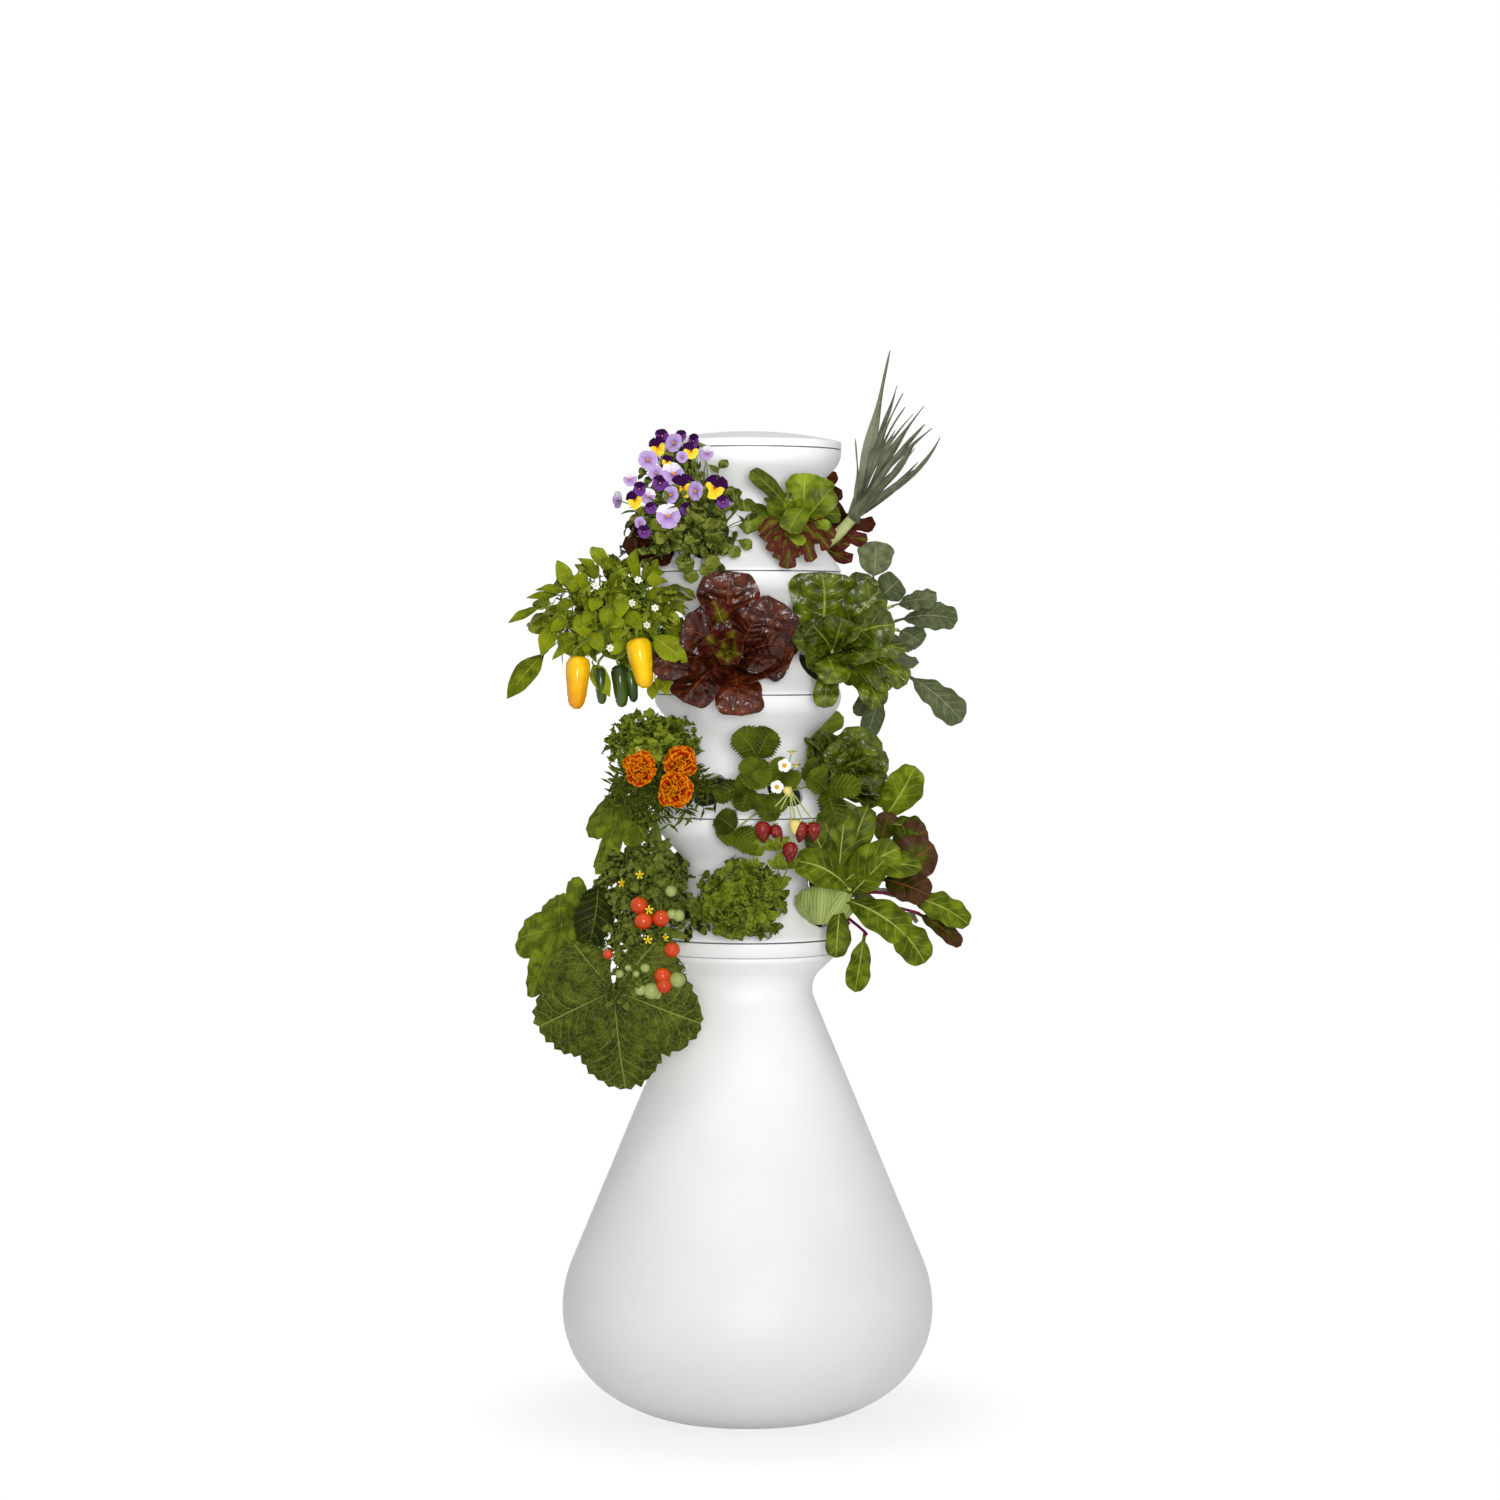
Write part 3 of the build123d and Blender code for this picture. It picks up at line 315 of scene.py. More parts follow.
def medium_finish():
    """Growing medium: dark fibre with paler specks."""
    finish = Finish("growing_medium_fibre", Specular_IOR_Level=0.2)
    grit = finish.node("ShaderNodeTexVoronoi", {}, {"Vector": finish.place(), "Scale": 380.0})
    crumb = finish.noise(190, 6, 0.7)
    fibre = finish.mix(crumb.ramp(0.3, 0.75), shade(26, 19, 14), shade(74, 56, 40))
    speck = (1 - grit.ramp(0.08, 0.2)) * crumb.ramp(0.5, 0.62)
    finish.set("Base Color", finish.mix(speck, fibre, shade(170, 160, 142)))
    finish.set("Roughness", 0.85 + crumb * 0.1)
    finish.bump(crumb + grit * 0.4, 0.9, 0.003)
    return finish.material


def steel_finish():
    """Ground steel: fine marks along the shaft."""
    finish = Finish("ground_steel", Metallic=1.0)
    stretched = finish.node("ShaderNodeMapping", {}, {"Vector": finish.place(), "Scale": (1.0, 0.05, 1.0)})
    marks = finish.node("ShaderNodeTexNoise", {}, {"Vector": stretched, "Scale": 900.0, "Detail": 3.0})
    finish.set("Base Color", finish.mix(marks, shade(150, 152, 154), shade(205, 206, 208)))
    finish.set("Roughness", 0.22 + marks * 0.2)
    finish.bump(marks, 0.1, 0.0003)
    return finish.material


@dataclass
class Leaf:
    """One kind of leaf. Widths and heights are shares of its length."""
    width: float
    base: float = 0.7
    tip: float = 0.7
    stalk: float = 0.0
    stalk_width: float = 0.03
    fold: float = 0.12
    cup: float = 0.0
    ruffle: float = 0.0
    waves: float = 3.5
    blister: float = 0.0
    quilts: float = 7
    bite: float = 0.0
    lobes: float = 0
    notch: float = 0.0
    rows: int = 12
    cols: int = 6
    thick: float = 0.0006


def close_sheet(top, face, thick):
    """A grid of points made a closed thin shell: points, faces, and which points lie underneath."""
    rows, cols = top.shape[0] - 1, top.shape[1] - 1
    wide = cols + 1
    below = top - face * thick
    count = top.shape[0] * top.shape[1]
    corner = (np.arange(rows)[:, None] * wide + np.arange(cols)[None, :]).ravel()
    upper = np.stack([corner, corner + 1, corner + wide + 1, corner + wide], 1)
    lower = upper[:, ::-1] + count
    loop = np.concatenate([
        np.arange(cols),
        cols + wide * np.arange(rows),
        rows * wide + cols - np.arange(cols),
        wide * (rows - np.arange(rows)),
    ])
    following = np.roll(loop, -1)
    rim = np.stack([following, loop, loop + count, following + count], 1)
    points = np.concatenate([top.reshape(-1, 3), below.reshape(-1, 3)])
    under = np.concatenate([np.zeros(count), np.ones(count)])
    return points, np.concatenate([upper, lower, rim]), under


def facing(ahead, face):
    """Three square ways (across, ahead, above) from a way ahead and a rough face."""
    ahead = unit(ahead)
    face = unit(np.asarray(face, float) - ahead * np.dot(face, ahead))
    return np.cross(ahead, face), ahead, face


def leaf_shell(kind, base, tip, face, arch=30.0, width=1.0, sweep=0.0, twist=0.0, rng=None):
    """A leaf from base to tip, its upper side towards face, bent back by arch degrees."""
    rows, cols = kind.rows, kind.cols
    base = np.asarray(base, float)
    chord = np.asarray(tip, float) - base
    reach = np.linalg.norm(chord)
    across, ahead, above = facing(chord, face)
    along = np.linspace(0, 1, rows + 1)
    over = np.linspace(-1, 1, cols + 1)
    edge = np.abs(over)
    bend = radians(arch) * (0.417 - along ** 1.4)
    pace = np.stack([np.cos(bend), np.sin(bend)], 1)
    line = np.vstack([[0, 0], np.cumsum((pace[1:] + pace[:-1]) / 2, 0)])
    lean = -atan2(line[-1, 1], line[-1, 0])
    line = line * reach / hypot(*line[-1])
    turned = np.array([[cos(lean), sin(lean)], [-sin(lean), cos(lean)]])
    line = line @ turned
    pace = pace @ turned
    rise = pace[:, :1] * above - pace[:, 1:] * ahead
    middle = base + line[:, :1] * ahead + line[:, 1:] * above
    middle = middle + across * (sweep * reach * along * (1 - along))[:, None] * 4
    roll = np.radians(twist) * (along - 0.3)
    out = across * np.cos(roll)[:, None] + rise * np.sin(roll)[:, None]
    rise = rise * np.cos(roll)[:, None] - across * np.sin(roll)[:, None]
    blade = np.clip((along - kind.stalk) / (1 - kind.stalk), 0, 1)
    peak = kind.base / (kind.base + kind.tip)
    full = peak ** kind.base * (1 - peak) ** kind.tip
    shape = blade ** kind.base * (1 - blade) ** kind.tip / full
    if kind.lobes:
        shape = shape * (1 - kind.notch * (0.5 + 0.5 * np.cos(2 * pi * kind.lobes * blade)) * (blade > 0.08))
    half = np.maximum(kind.width * width * shape, kind.stalk_width * (1 - 0.93 * blade)) * reach / 2
    phase = rng.random(2) if rng is not None else np.array([0.1, 0.6])
    side = np.where(over > 0, phase[0], phase[1])
    wave = np.sin(2 * pi * (kind.waves * along[:, None] + side[None, :]))
    swell = np.clip(half / (kind.width * width * reach / 2), 0, 1)[:, None]
    height = half[:, None] * (kind.fold * edge + kind.cup * edge ** 2)
    height = height + kind.ruffle * reach * edge ** 2 * wave * swell
    if kind.blister:
        quilt = np.abs(np.sin(pi * kind.quilts * (along[:, None] - 0.22 * edge)))
        cell = np.abs(np.sin(pi * (kind.cols / 4.2) * edge + 0.4))
        height = height + kind.blister * reach * quilt * cell * swell * (1 - edge ** 4)
    if rng is not None:
        roll, lag = rng.uniform(0.7, 1.8, 2)
        slow = np.sin(2 * pi * (roll * along[:, None] + phase[0]) + over[None, :] * lag)
        height = height + 0.022 * reach * slow * edge * swell
        half = half * (1 + 0.05 * np.sin(2 * pi * (2.3 * along + phase[1])))
    tooth = kind.bite * (np.arange(rows + 1) % 2 - 0.5) * (blade > 0.1) * (blade < 0.99)
    reach_out = over * half[:, None] * (1 + tooth[:, None] * edge ** 6)
    top = middle[:, None] + out[:, None] * reach_out[..., None] + rise[:, None] * height[..., None]
    points, faces, under = close_sheet(top, rise[:, None], kind.thick)
    grid = np.stack(np.broadcast_arrays((over[None, :] + 1) / 2, along[:, None]), -1).reshape(-1, 2)
    return points, faces, np.concatenate([grid, grid]), under


def palm_shell(centre, tip, face, spread, notch, dish, rng, rings=16, spokes=60, lobes=5, teeth=0.024,
               thick=0.0009):
    """A broad lobed leaf: centre is where its stalk meets it, tip the end of its middle lobe."""
    centre = np.asarray(centre, float)
    chord = np.asarray(tip, float) - centre
    reach = np.linalg.norm(chord)
    across, ahead, above = facing(chord, face)
    angle = np.linspace(-1, 1, spokes + 1) * radians(PALM_SWEEP)
    sector = 2 * radians(PALM_SWEEP) / lobes
    offset = np.abs((angle / sector + 0.5) % 1 - 0.5) * 2
    lobe = 1 - notch * offset ** 1.6
    sinus = np.clip((np.abs(angle) - radians(PALM_SINUS)) / radians(PALM_SWEEP - PALM_SINUS), 0, 1)
    size = (0.78 + 0.22 * np.cos(angle * 0.62)) * lobe * (1 - 0.5 * sinus)
    ragged = teeth * ((np.arange(spokes + 1) % 2) * 1.4 - 0.7 + rng.normal(0, 0.5, spokes + 1))
    ring = np.linspace(0.015, 1, rings + 1)
    far = ring[:, None] * size[None, :] * (1 + ragged[None, :] * ring[:, None] ** 8) * reach
    x = far * np.sin(angle)[None, :] * spread
    y = far * np.cos(angle)[None, :]
    drop = -dish * reach * ring[:, None] ** 2 * (1 + 0.35 * np.cos(angle * 2)[None, :])
    crease = 0.05 * reach * ring[:, None] * (offset[None, :] - 0.4)
    phase = rng.random() * 6
    wave = 0.03 * reach * ring[:, None] ** 3 * np.sin(angle * 7 + phase)[None, :]
    quilt = 0.010 * reach * np.abs(np.sin(pi * (ring[:, None] * 6 + offset[None, :] * 1.2))) * offset[None, :]
    z = drop + crease + wave + quilt
    top = centre + x[..., None] * across + y[..., None] * ahead + z[..., None] * above
    top = top[:, ::-1]
    points, faces, under = close_sheet(top, above[None, None], thick)
    grid = np.stack(np.broadcast_arrays(0.5 + 0.5 * offset[None, ::-1], ring[:, None]), -1).reshape(-1, 2)
    return points, faces[:, ::-1], np.concatenate([grid, grid]), under


def smooth_path(points, count):
    """Points along a smooth curve through the given ones."""
    points = np.asarray(points, float)
    ends = np.vstack([2 * points[0] - points[1], points, 2 * points[-1] - points[-2]])
    out = []
    for place in np.linspace(0, len(points) - 1, count):
        k = min(int(place), len(points) - 2)
        t = place - k
        a, b, c, d = ends[k:k + 4]
        bend = (2 * a - 5 * b + 4 * c - d) * t ** 2
        out.append(0.5 * (2 * b + (c - a) * t + bend + (3 * b - a - 3 * c + d) * t ** 3))
    return np.array(out)


def tube_faces(count, sides):
    """Faces between rings of points, closed by the two points that follow the last ring."""
    faces = []
    for k in range(count - 1):
        for j in range(sides):
            i = (j + 1) % sides
            faces.append((k * sides + j, k * sides + i, (k + 1) * sides + i, (k + 1) * sides + j))
    for j in range(sides):
        i = (j + 1) % sides
        faces.append((i, j, count * sides))
        faces.append(((count - 1) * sides + j, (count - 1) * sides + i, count * sides + 1))
    return faces


def stem_shell(points, thick_end, thin_end, sides=7, count=10):
    """A closed round stem through the points, tapering."""
    path = smooth_path(points, count)
    run = np.gradient(path, axis=0)
    run = run / np.linalg.norm(run, axis=1)[:, None]
    side = unit(np.cross(run[0], [0.31, 0.52, 0.79]))
    rings = []
    for k in range(count):
        side = unit(side - run[k] * np.dot(side, run[k]))
        other = np.cross(run[k], side)
        radius = thick_end + (thin_end - thick_end) * k / (count - 1)
        turn = np.arange(sides) * 2 * pi / sides
        rings.append(path[k] + radius * (np.cos(turn)[:, None] * side + np.sin(turn)[:, None] * other))
    points = np.vstack([*rings, path[:1], path[-1:]])
    along = np.repeat(np.linspace(0, 1, count), sides)
    grid = np.stack([np.full(len(along), 0.75), along * 0.3 + 0.1], 1)
    grid = np.vstack([grid, [[0.75, 0.1], [0.75, 0.4]]])
    return points, tube_faces(count, sides), grid, np.zeros(len(points))


def turned_shell(profile, lobes=0, lobe_depth=0.0, sides=16, bow=0.0):
    """A fruit turned about Z from (radius, height) pairs, with soft lobes and a bow, closed at both ends."""
    profile = np.asarray(profile, float)
    turn = np.arange(sides) * 2 * pi / sides
    ripple = 1 + lobe_depth * np.cos(lobes * turn)
    inner = profile[1:-1]
    rings = []
    for radius, height in inner:
        wide = radius * ripple
        rings.append(np.stack([wide * np.cos(turn), wide * np.sin(turn), np.full(sides, height)], 1))
    points = np.vstack([*rings, [[0, 0, profile[0, 1]]], [[0, 0, profile[-1, 1]]]])
    low, high = profile[:, 1].min(), profile[:, 1].max()
    points[:, 0] += bow * np.sin(pi * (points[:, 2] - low) / (high - low))
    return points, tube_faces(len(inner), sides)


def mesh_of(name, points, faces, layers=None, paint=None, uv=None):
    """A smooth mesh with sharp rims, its per-point numbers, colours and UV map."""
    mesh = bpy.data.meshes.new(name)
    mesh.from_pydata([tuple(p) for p in points], [], [tuple(f) for f in faces])
    for key, values in (layers or {}).items():
        mesh.attributes.new(key, "FLOAT", "POINT").data.foreach_set("value", np.asarray(values, np.float32))
    if paint is not None:
        colours = np.ones((len(points), 4), np.float32)
        colours[:, :3] = np.asarray(paint)[:, :3]
        mesh.attributes.new("paint", "FLOAT_COLOR", "POINT").data.foreach_set("color", colours.ravel())
    if uv is not None:
        corners = np.zeros(len(mesh.loops), np.int32)
        mesh.loops.foreach_get("vertex_index", corners)
        mesh.uv_layers.new(name="leaf").data.foreach_set("uv", np.asarray(uv, np.float32)[corners].ravel())
    mesh.polygons.foreach_set("use_smooth", np.ones(len(mesh.polygons), bool))
    mesh.set_sharp_from_angle(angle=radians(SHARP_RIM))
    mesh.update()
    return mesh


def show(piece, body, node):
    bpy.context.scene.collection.objects.link(piece)
    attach(piece, body)
    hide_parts(node)


class Foliage:
    """Leaves, stems and fruit of one plant, gathered into one mesh with a slot for each finish."""

    def __init__(self):
        self.points, self.faces, self.uv, self.under = [], [], [], []
        self.tint, self.paint, self.finishes, self.finish_of = [], [], [], []
        self.size = 0

    def add(self, shell, finish, tint=0.5, paint=(0.5, 0.5, 0.5)):
        points, faces, uv, under = shell
        if finish not in self.finishes:
            self.finishes.append(finish)
        self.points.append(points)
        self.faces.extend([tuple(int(i) + self.size for i in f) for f in faces])
        self.uv.append(uv)
        self.under.append(under)
        self.tint.append(np.full(len(points), tint))
        self.paint.append(np.broadcast_to(np.asarray(paint, float)[..., :3], (len(points), 3)))
        self.finish_of.extend([self.finishes.index(finish)] * len(faces))
        self.size += len(points)

    def mesh(self, name):
        layers = {"under": np.concatenate(self.under), "tint": np.concatenate(self.tint)}
        made = mesh_of(name, np.vstack(self.points), self.faces, layers, np.vstack(self.paint),
                       np.vstack(self.uv))
        for finish in self.finishes:
            made.materials.append(finish)
        made.polygons.foreach_set("material_index", np.array(self.finish_of, np.int32))
        return made


def scatter_tree():
    """Sets one of a collection's shapes on each point, by the point's own pick, turn and size."""
    tree = bpy.data.node_groups.new("scatter_shapes", "GeometryNodeTree")
    for label, kind in (("Points", "Geometry"), ("Shapes", "Collection"), ("Finish", "Material")):
        tree.interface.new_socket(label, in_out="INPUT", socket_type="NodeSocket" + kind)
    tree.interface.new_socket("Piece", in_out="OUTPUT", socket_type="NodeSocketGeometry")
    nodes, link = tree.nodes, tree.links.new
    given = nodes.new("NodeGroupInput")
    made = nodes.new("NodeGroupOutput")
    shapes = nodes.new("GeometryNodeCollectionInfo")
    shapes.inputs["Separate Children"].default_value = True
    shapes.inputs["Reset Children"].default_value = True
    link(given.outputs["Shapes"], shapes.inputs["Collection"])
    read = {}
    for label, kind in (("pick", "INT"), ("turn", "FLOAT_VECTOR"), ("size", "FLOAT")):
        read[label] = nodes.new("GeometryNodeInputNamedAttribute")
        read[label].data_type = kind
        read[label].inputs["Name"].default_value = label
    turn = nodes.new("FunctionNodeEulerToRotation")
    link(read["turn"].outputs["Attribute"], turn.inputs[0])
    stand = nodes.new("GeometryNodeInstanceOnPoints")
    stand.inputs["Pick Instance"].default_value = True
    link(given.outputs["Points"], stand.inputs["Points"])
    link(shapes.outputs[0], stand.inputs["Instance"])
    link(read["pick"].outputs["Attribute"], stand.inputs["Instance Index"])
    link(turn.outputs[0], stand.inputs["Rotation"])
    link(read["size"].outputs["Attribute"], stand.inputs["Scale"])
    real = nodes.new("GeometryNodeRealizeInstances")
    link(stand.outputs[0], real.inputs[0])
    coat = nodes.new("GeometryNodeSetMaterial")
    link(real.outputs[0], coat.inputs["Geometry"])
    link(given.outputs["Finish"], coat.inputs["Material"])
    link(coat.outputs[0], made.inputs[0])
    return tree


SCATTER = scatter_tree()


class Scatter:
    """Many small leaves or flowers of a plant, each at its own point, facing its own way."""

    def __init__(self):
        self.rows = []

    def add(self, place, ahead, face, size, pick=0, tint=0.5):
        turn = Matrix(facing(ahead, face)).transposed().to_euler()
        self.rows.append((tuple(place), tuple(turn), size, pick, tint))

    def mesh(self, name, shapes, finish):
        """Runs the tree over the points and keeps the result as a plain mesh."""
        places, turns, sizes, picks, tints = [list(column) for column in zip(*self.rows)]
        points = bpy.data.meshes.new(name + "_points")
        points.from_pydata(places, [], [])
        points.attributes.new("turn", "FLOAT_VECTOR", "POINT").data.foreach_set("vector", np.ravel(turns))
        for label, kind, values in (("size", "FLOAT", sizes), ("pick", "INT", picks),
                                    ("tint", "FLOAT", tints)):
            points.attributes.new(label, kind, "POINT").data.foreach_set("value", values)
        carrier = bpy.data.objects.new(name + "_points", points)
        bpy.context.scene.collection.objects.link(carrier)
        box = bpy.data.collections.new(name + "_shapes")
        parts = [bpy.data.objects.new(f"{name}_shape_{k}", mesh) for k, mesh in enumerate(shapes)]
        for part in parts:
            box.objects.link(part)
        modifier = carrier.modifiers.new("scatter", "NODES")
        modifier.node_group = SCATTER
        sockets = {s.name: s.identifier for s in SCATTER.interface.items_tree if s.in_out == "INPUT"}
        modifier[sockets["Shapes"]] = box
        modifier[sockets["Finish"]] = finish
        ready = carrier.evaluated_get(bpy.context.evaluated_depsgraph_get())
        made = bpy.data.meshes.new_from_object(ready)
        made.name = name
        carrier.modifiers.remove(modifier)
        bpy.data.objects.remove(carrier)
        for part in parts:
            bpy.data.objects.remove(part)
        bpy.data.collections.remove(box)
        return made


def leaf_shape(name, kind, arch, twist, sweep, seed):
    """A leaf one metre long, ready to be scattered: Y ahead, Z its upper side."""
    rng = np.random.default_rng(seed)
    points, faces, uv, under = leaf_shell(kind, (0, 0, 0), (0, 1, 0), UP, arch, 1.0, sweep, twist, rng)
    return mesh_of(name, points, faces, {"under": under}, None, uv)


def leaf_shapes(name, kind, *bends, seed=3):
    """The variants of a small leaf, each by its arch, twist and sweep."""
    return [leaf_shape(f"{name}_{k}", kind, *bend, seed + k) for k, bend in enumerate(bends)]


class Port:
    """A planting port: where its plant is rooted and which way it looks."""

    def __init__(self, tier, azimuth):
        turn = radians(azimuth)
        tilt = radians(PORT_TILT)
        self.out = np.array([sin(turn), -cos(turn), 0.0])
        self.right = np.array([cos(turn), sin(turn), 0.0])
        self.axes = (self.right, self.out, UP)
        axis = self.out * cos(tilt) + UP * sin(tilt)
        seam = TOWER_FOOT + TIER_PITCH * (tier - 1)
        self.root = self.out * PORT_RADIUS + UP * (seam + PORT_RISE) - axis * PLUG_DEPTH

    def at(self, right, out, up):
        return self.root + self.right * right + self.out * out + UP * up

    def axis(self, elevation):
        tilt = radians(elevation)
        return self.out * cos(tilt) + UP * sin(tilt)


def rosette(foliage, kind, port, elevation, finish, rings, rng, arch=55.0):
    """Rings of leaves round an axis from one root: count, opening, length, first clock, spread of each."""
    axis = port.axis(elevation)
    top = UP * cos(radians(elevation)) - port.out * sin(radians(elevation))
    for clock, opening, length in [leaf for ring in rings for leaf in ring_of_leaves(*ring)]:
        turn = radians(clock + rng.normal(0, 6))
        lean = radians(opening + rng.normal(0, 4))
        away = top * cos(turn) + port.right * sin(turn)
        ahead = axis * cos(lean) + away * sin(lean)
        base = port.root + away * 0.006
        face = axis * sin(lean) - away * cos(lean)
        shell = leaf_shell(kind, base, base + ahead * length, face, arch * rng.uniform(0.7, 1.3), 1.0,
                           rng.normal(0, 0.05), rng.normal(0, 14), rng)
        foliage.add(shell, finish, rng.uniform(0.3, 0.8))


def ring_of_leaves(count, opening, length, start=0.0, spread=360.0):
    """Clock, opening and length of a ring of leaves."""
    step = spread / count if spread == 360 else spread / max(count - 1, 1)
    return [(start + step * k, opening, length) for k in range(count)]


def mound(centre, radii, axes, count, rng, low, inside):
    """Places, outward ways and tints over a rounded bush: even as its front shows, and darker deeper inside
    as painted shade.
    """
    right, out, up = axes
    front = count * FRONT_SHARE
    found = []
    for k in range(count):
        turn = k * GOLDEN_ANGLE
        if k < front:
            far = ((k + 0.5) / front) ** 0.5
            way = np.array([far * cos(turn), max(1 - far ** 2, 0.0) ** 0.5, far * sin(turn)])
            if way[2] < low:
                way[2] = rng.uniform(low, 0.9)
        else:
            height = rng.uniform(low, 1.0)
            flat = (1 - height ** 2) ** 0.5
            way = np.array([flat * cos(turn), flat * max(sin(turn), -0.5), height])
        depth = 1 - inside * rng.random() ** 1.5
        offset = right * way[0] * radii[0] + out * way[1] * radii[1] + up * way[2] * radii[2]
        place = centre + offset * depth
        outward = unit(right * way[0] / radii[0] + out * way[1] / radii[1] + up * way[2] / radii[2])
        # Painted shade: the tint falls towards 0 for leaves deeper in the bush.
        found.append((place, outward, rng.uniform(0.3, 0.95) * ((depth - 1 + inside) / inside) ** 1.2))
    return found


def lie(outward, rng, lift, spread=0.3):
    """Which way a bush's leaf points and faces: along the bush's skin, a little lifted off it."""
    loose = rng.normal(0, 1, 3) - UP * 0.35
    along = unit(loose - outward * np.dot(loose, outward))
    return along + outward * lift, outward + UP * 0.25 + rng.normal(0, spread, 3)


def seen_leaf(foliage, kind, finish, base, tip, width, arch, face, rng, tint=None, stalk=None):
    """A leaf placed by where its two ends show: (column, row, depth) each, its width in metres."""
    start = sighted(*base)
    end = sighted(*tip)
    share = width / np.linalg.norm(end - start) / kind.width
    shell = leaf_shell(kind, start, end, face, arch, share, rng.normal(0, 0.02), rng.normal(0, 6), rng)
    foliage.add(shell, finish, rng.uniform(0.35, 0.8) if tint is None else tint)
    if stalk is not None:
        root, stalk_finish, thick = stalk
        middle = (root + start) / 2 + UP * 0.012
        into = start + (end - start) * 0.06
        foliage.add(stem_shell([root, middle, start, into], thick, thick * 0.7), stalk_finish, 0.6)


def seen_leaves(foliage, kind, finish, rows, rng, stalk=None):
    """Leaves by rows: pixels of base and tip, depths of both, width, arch, face, tint, own finish if any."""
    for base, tip, near, far, width, arch, face, tint, *own in rows:
        look = own[0] if own else finish
        seen_leaf(foliage, kind, look, (*base, near), (*tip, far), width, arch, face, rng, tint, stalk)


# The finishes of the leaves, from the photograph's colours.
GREEN_ROMAINE = leaf_finish("green_romaine_leaf", "687810 1a2402 98a83c 7c8e2e", 0.26, 7, 0.06, 0.4,
                            pucker=3.0, cell=66.0, gloss=0.24)
BUTTER_GREEN = leaf_finish("butter_lettuce_leaf", "6a790f 222e03 a2ae46 86962e", 0.34, 7, 0.06, 0.4,
                           pucker=1.0, cell=50.0, gloss=0.1)
LIME_GREEN = leaf_finish("lime_lettuce_leaf", "8e9e28 4a5c0c b2ba5a 98a640", 0.4, 7, 0.06, 0.4, pucker=1.0,
                         cell=60.0)
BRONZE_LEAF = leaf_finish("bronze_lettuce_leaf", "686416 281606 968837 7e722a", 0.42, 6, 0.07, 0.5,
                          shade(78, 30, 24))
RED_LEAF = leaf_finish("red_romaine_leaf", "5c2610 1e0704 804424 704824", 0.2, 8, 0.05, 0.4, pucker=3.0,
                       cell=66.0, gloss=0.24)
RED_HEART = leaf_finish("red_romaine_heart_leaf", "706e14 3b220a 9c9037 7c7428", 0.24, 7, 0.07, 0.4,
                        shade(66, 18, 16), pucker=3.0, cell=66.0)
DARK_RED_LEAF = leaf_finish("dark_red_lettuce_leaf", "46200e 180604 62361d 54341b", 0.35, 7, 0.06, 0.4)
VIOLA_LEAF = leaf_finish("viola_leaf", "5e661c 1a1e06 8a9242 7c863c", 0.55, 5, 0.06, 0.35)
PEPPER_LEAF = leaf_finish("pepper_leaf", "808b12 202a03 aab43c 929e34", 0.4, 8, 0.05, 0.5)
KALE_LEAF = leaf_finish("collard_leaf", "727a56 424c2e 969c7a 848c6c", 0.6, 8, 0.06, 0.6, pucker=0.4,
                        cell=90.0)
LEEK_LEAF = leaf_finish("leek_blade", "7a8068 4a503c 828670 868c76", 0.5, 1, 0.05, 0.0)
LEEK_SHANK = leaf_finish("leek_shank", "ccce96 94a060 d4d6a8 c6ca96", 0.4, 1, 0.05, 0.0)
MARIGOLD_LEAF = leaf_finish("marigold_leaf", "545f14 121803 707a2d 647027", 0.5, 6, 0.06, 0.3)
FRILLED_LEAF = leaf_finish("frilled_herb_leaf", "76831a 1e2704 929e38 849230", 0.5, 6, 0.06, 0.3)
STRAWBERRY_LEAF = leaf_finish("strawberry_leaf", "586613 1b2404 707e2a 7e8a42", 0.4, 8, 0.045, 0.75,
                              ridge=0.8)
SPINACH_LEAF = leaf_finish("savoy_spinach_leaf", "667416 242e04 7e8c2e 707e2a", 0.25, 7, 0.05, 0.4,
                           pucker=3.2, cell=78.0, gloss=0.24)
CHARD_LEAF = leaf_finish("chard_leaf", "768616 2c3904 b4ba51 8c9a37", 0.32, 7, 0.08, 0.5, pucker=1.0,
                         cell=55.0)
PURPLE_CHARD_LEAF = leaf_finish("purple_chard_leaf", "5e6616 252407 925030 686625", 0.36, 7, 0.07, 0.5,
                                shade(72, 46, 28))
SQUASH_LEAF = leaf_finish("squash_leaf", "5c661c 252c09 969e4c 768237", 0.55, 7, 0.035, 0.45, pucker=0.6,
                          cell=75.0, slant=3.6, net=0.22)
YOUNG_SQUASH_LEAF = leaf_finish("young_squash_leaf", "78861d 2c3806 96a23f 889435", 0.5, 7, 0.04, 0.4,
                                pucker=0.7, cell=80.0, slant=3.6, net=0.12)
TOMATO_LEAF = leaf_finish("tomato_leaf", "626d20 121704 727e32 6e7a34", 0.55, 6, 0.05, 0.5)
MINT_LEAF = leaf_finish("mint_leaf", "7c8b1e 1c2503 92a035 849232", 0.42, 7, 0.05, 0.7, ridge=0.7)
BOK_CHOY_LEAF = leaf_finish("bok_choy_leaf", "748318 243004 bac462 909e3f", 0.36, 7, 0.08, 0.45, pucker=0.4,
                            cell=60.0)
BOK_CHOY_RIB = leaf_finish("bok_choy_rib", "a6b660 607628 bec880 a0b064", 0.32, 1, 0.3, 0.0,
                           shade(112, 138, 50), gloss=0.15, stripes=4)
GREEN_STEM = leaf_finish("green_stem", "7e8e3a 52661e 929e52 7e8e3a", 0.45, 1, 0.01, 0.0)
PALE_STEM = leaf_finish("pale_stem", "b8be78 8e9c50 c2c888 b8be78", 0.45, 1, 0.01, 0.0)
MAGENTA_STEM = leaf_finish("magenta_stem", "962c5c 601a3a aa466e 962c5c", 0.38, 1, 0.01, 0.0)
